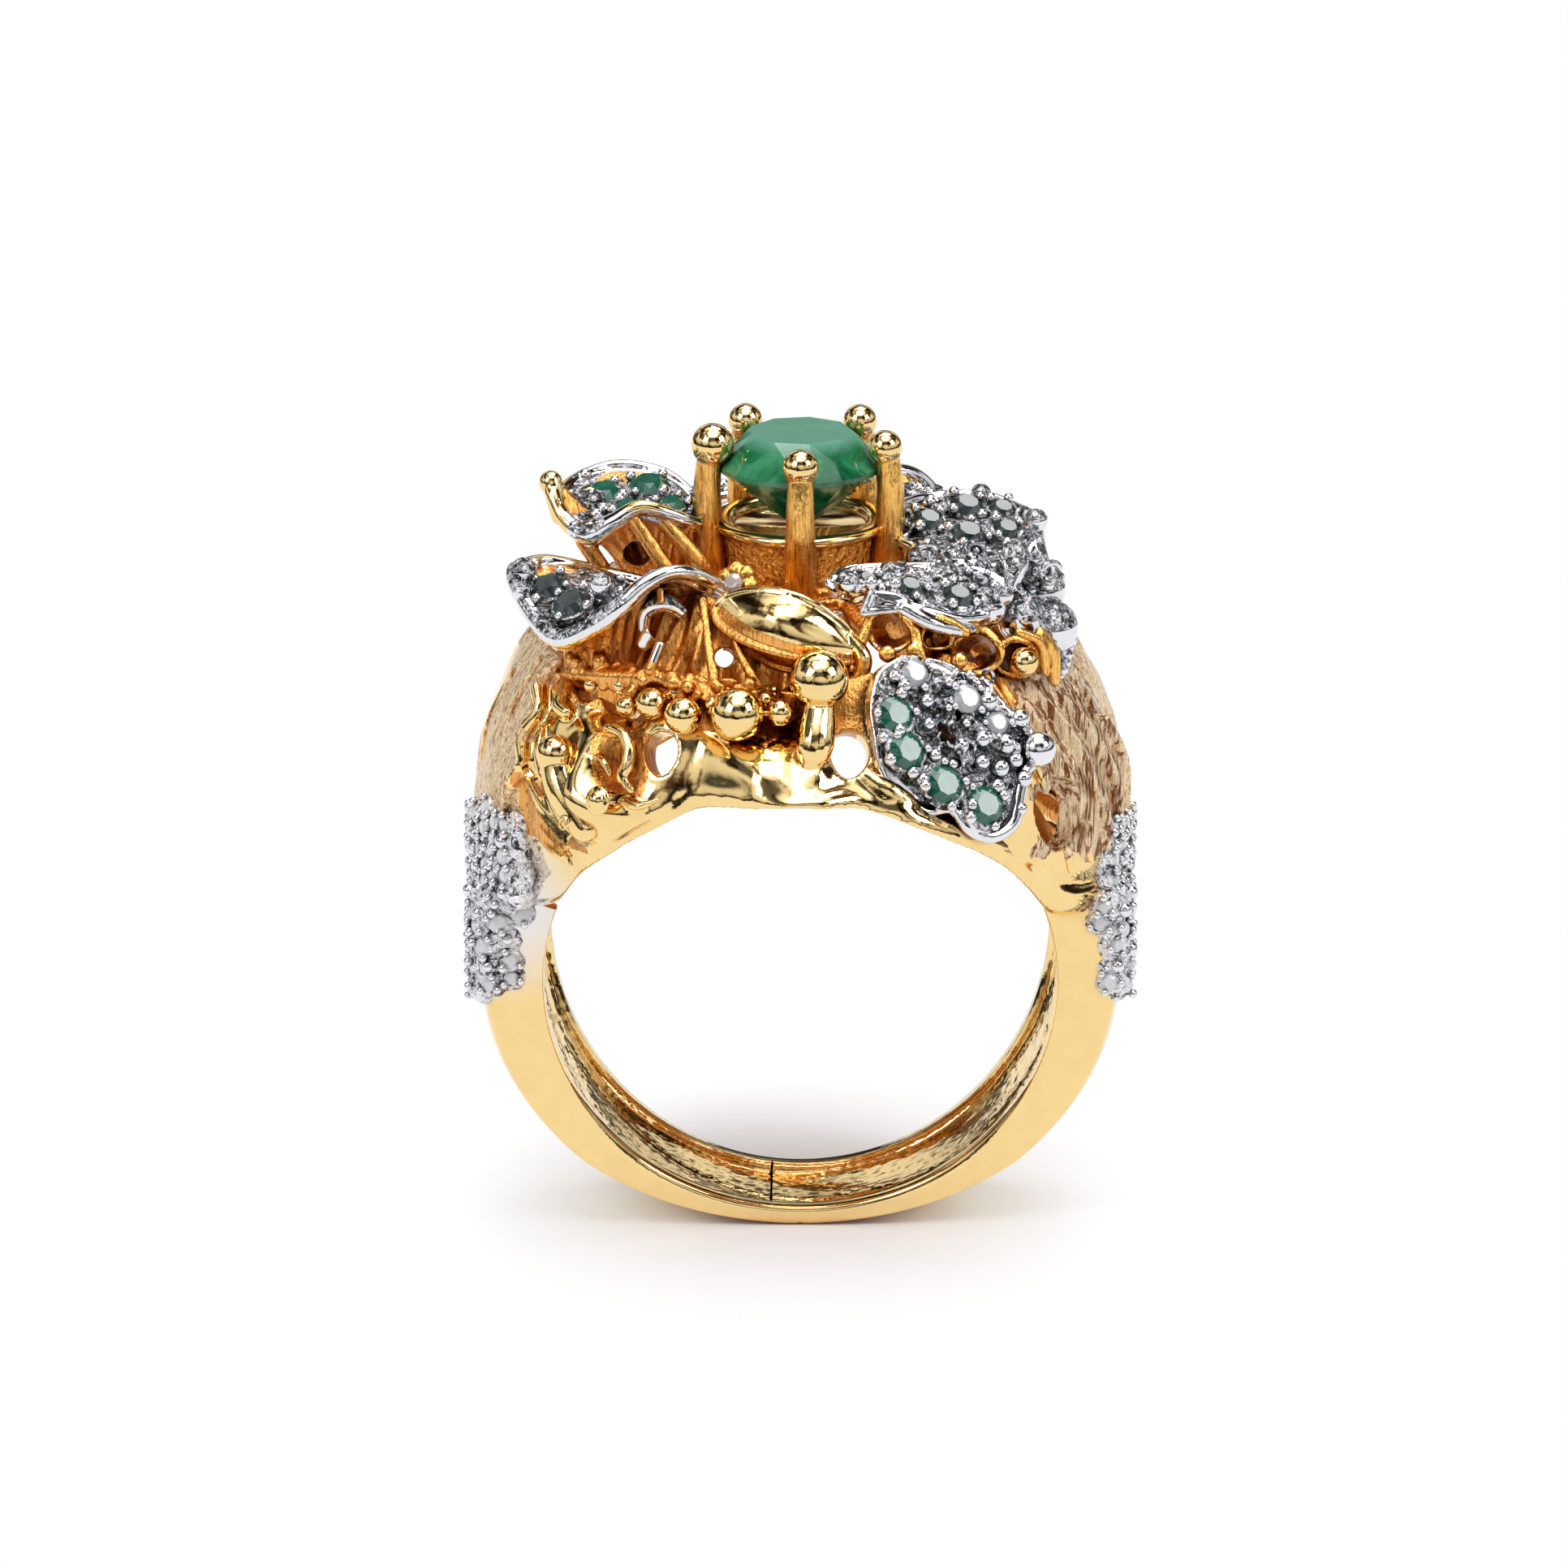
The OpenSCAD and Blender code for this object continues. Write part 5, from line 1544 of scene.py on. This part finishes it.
def make_struts():
    """Rods out to the wall, twigs and grains between them, and the holed web in front."""
    rnd = random.Random(71)
    parts = []
    for az in (2, 59, 92, 137, 181, 217, 246, 267, 305, 330):
        bend = rnd.uniform(-4, 4)
        parts.append(tube([[*polar(az, 2.4, 12.9), .34], [*polar(az + bend, 4.6, 12.4), .27],
                           [*polar(az, 6.8, 11.7), .27], [*polar(az, 8.9, 11.2), .34]], 10))
    parts.append(tube([[*polar(a, 2.5, 12.95), .36] for a in range(0, 360, 24)], 10, closed=True,
                      steps=1))
    for x, y in ((-1.6, -1.2), (-1.6, 1.2), (1.6, -1.2), (1.6, 1.2)):
        parts.append(tube([[x, y, 8.9, .36], [x, y, 12.9, .36]], 10))
    parts += [tube([[-3.2, -6, 14.2, .16], [-3.05, -6.9, 13.3, .17], [-2.8, -8, 12.0, .2]], 9),
              tube([[-2.4, -6.3, 14.1, .15], [-2.0, -7.4, 12.9, .16], [-1.4, -8.3, 12.0, .2]], 9),
              tube([[-4.6, -6.2, 14.6, .14], [-4.5, -7.0, 13.4, .16], [-4.9, -7.6, 12.3, .2]], 9),
              tube([[-5.2, -7.2, 11.9, .28], [-4.2, -7.6, 12.0, .26], [-3.0, -8.0, 11.7, .24],
                    [-1.8, -8.4, 11.6, .2]], 12),
              tube([[-7.7, -4.8, 11.3, .26], [-6.8, -6.0, 11.6, .28], [-5.2, -7.2, 11.9, .28]], 12)]
    for k in range(120):
        t = rnd.random()
        c = np.array([-7.6 + 6.2 * t, -4.9 - 3.7 * sin(t * 1.5), 11.75])
        parts.append(ball(c + (rnd.uniform(-.35, .35), rnd.uniform(-.5, .2),
                               rnd.uniform(-.5, .4)), rnd.uniform(.12, .28), 7))
    # the holed web between the lower left petal and the balls
    faces = []
    for inset in (0.0, WEB_T):
        level = []
        for z in np.linspace(WEB_LOW, WEB_HIGH, 22):
            arc = []
            for az in np.linspace(218, 272, 66):
                out = WEB_R - 0.42 * (z - WEB_LOW) - inset
                out += 0.14 * sin(az * 0.55 + z) + 0.08 * sin(az * 1.3 - 2 * z)
                arc.append(polar(az, out, z + 0.12 * sin(az * 0.4)))
            level.append(arc)
        faces += level if inset == 0.0 else level[::-1]
    parts.append(solid(np.array(faces).transpose(1, 0, 2)))
    windows = [tube([[x, -9.5, z + .9, r], [x, -4.5, z - .9, r * .9]], 14)
               for x, z, r in ((-4.35, 13.75, .72), (-3.7, 13.6, .55), (-2.5, 12.55, .34),
                               (-6.3, 12.9, .3))]
    parts.append(tube([[-5.1, -6.6, 12.9, .26], [-4.8, -6.7, 13.4, .3], [-4.2, -6.8, 13.45, .3],
                       [-3.9, -6.8, 12.95, .26]], 12))

    def curl(c, n):
        return -5.5 < c[0] < -3.5 and c[1] < -6.3 and 12.6 < c[2] < 13.85 and n[2] > -0.4

    # the struts under the petals are given the gold in painted shade
    cast("strut_spider", fused(parts, 0.065, 1, windows), gold_in_shade,
         (rhodium, curl))


# The bridge's half width, and its distances from the finger's axis
BRIDGE_HALF = .9
BRIDGE_IN = BORE_R + .28
BRIDGE_OUT = BORE_R + .74
BRIDGE_CROWN = BORE_R + .82


def make_bridge():
    """The plain bar over the finger that joins the two ends of the shank."""
    rows = []
    top = asin(SHANK_TOP / BORE_R)
    for a in np.linspace(top, pi - top, 90):
        ring = []
        for r, y in ((BRIDGE_IN, -BRIDGE_HALF), (BRIDGE_IN, BRIDGE_HALF),
                     (BRIDGE_OUT, BRIDGE_HALF), (BRIDGE_CROWN, BRIDGE_HALF / 2),
                     (BRIDGE_CROWN, -BRIDGE_HALF / 2), (BRIDGE_OUT, -BRIDGE_HALF)):
            ring.append([r * cos(a), y, r * sin(a)])
        rows.append(ring)
    # the bridge under the wall is given the gold in painted shade
    cast("bore_bridge", solid(rows), gold_in_shade)


# Each shoulder's stone-set leaf: its top's height at the side and the rise of that per degree
# to the front, how many degrees it turns to the front, and how far in it comes on the band
PAVE_REACH = {"left": (5.2, 0.055, 31, 1.45), "right": (5.0, 0.03, 23, 1.1)}


# The highest row's height, and how far the rows stand apart
PAVE_TOP, PAVE_PITCH = 6.9, 0.64


def make_pave():
    """Stone-set leaves on the outside of the shoulders, wrapping to the front edge."""
    for side, tag, seed in ((-1, "left", 81), (1, "right", 83)):
        rnd = random.Random(seed)
        stones, body, beads = [], [], []
        top, rise, turn_end, front_end = PAVE_REACH[tag]
        for row in range(12):
            z = PAVE_TOP - PAVE_PITCH * row
            for k in range(12):
                level = z + rnd.uniform(-.14, .14) + 0.33 * (k % 2)
                if level > SHANK_TOP:
                    reach = sqrt(DOME_R ** 2 - max(0, level - DOME_Z) ** 2) + 0.05
                    # on the dome, az degrees from the side towards the front
                    az = -15 + 4.3 * k + rnd.uniform(-.6, .6)
                    if az > turn_end or level > top + rise * az or az < 5 * level - 38:
                        continue
                    n = unit((side * cos(radians(az)), -sin(radians(az)), 0.1))
                    p = np.array([side * reach * cos(radians(az)),
                                  -reach * sin(radians(az)), level])
                else:
                    # on the band's side, turning in over its front edge
                    half = band_half(level)
                    y = 3.0 - 0.78 * k + rnd.uniform(-.1, .1)
                    if y > 3.1 - 0.8 * max(0.0, 1.6 - level):
                        continue
                    inset = max(0.0, -y - half + 0.5)
                    turn = min(1.0, inset / 0.6) * pi / 2
                    if inset > front_end + 0.3 * sin(3 * level) - 0.25 * max(0, 1 - level):
                        continue
                    n = unit((side * cos(turn), -sin(turn), 0.08))
                    p = np.array([side * (BORE_R + SIDE_T + 0.12 - inset), max(y, -half - 0.05),
                                  level])
                r = rnd.uniform(.26, .37)
                if (k + 2 * row) % 3 < 2:
                    stones.append(((*(p + n * .08), r), n))
                else:
                    beads.append(ball(p + n * .12, rnd.uniform(.18, .28), 9))
                body.append(ball(p - n * .46, .64, 10))
        body += collars(stones)
        cast("pave_leaf_" + tag, fused(body, 0.06, 1), rhodium_melted)
        cut("pave_stones_" + tag, stones, white_glass, "clear_stone")
        piece(f"pave_beads_{tag}_cast", joined(beads + prongs(stones, rnd, 3, .13)), rhodium)


make_shank()
make_front_wall()
make_back_wall()
make_stone_and_basket()
make_petals()
make_wall_leaf(300, 28, ("leaf_front_right", "green_stones_front", "clear_stones_front",
                         "beads_front"), 91)
make_wall_leaf(120, 28, ("leaf_back", "green_stones_back", None, "beads_back"), 93)
make_balls()
make_scrolls()
make_boss_and_knob()
make_struts()
make_bridge()
make_pave()
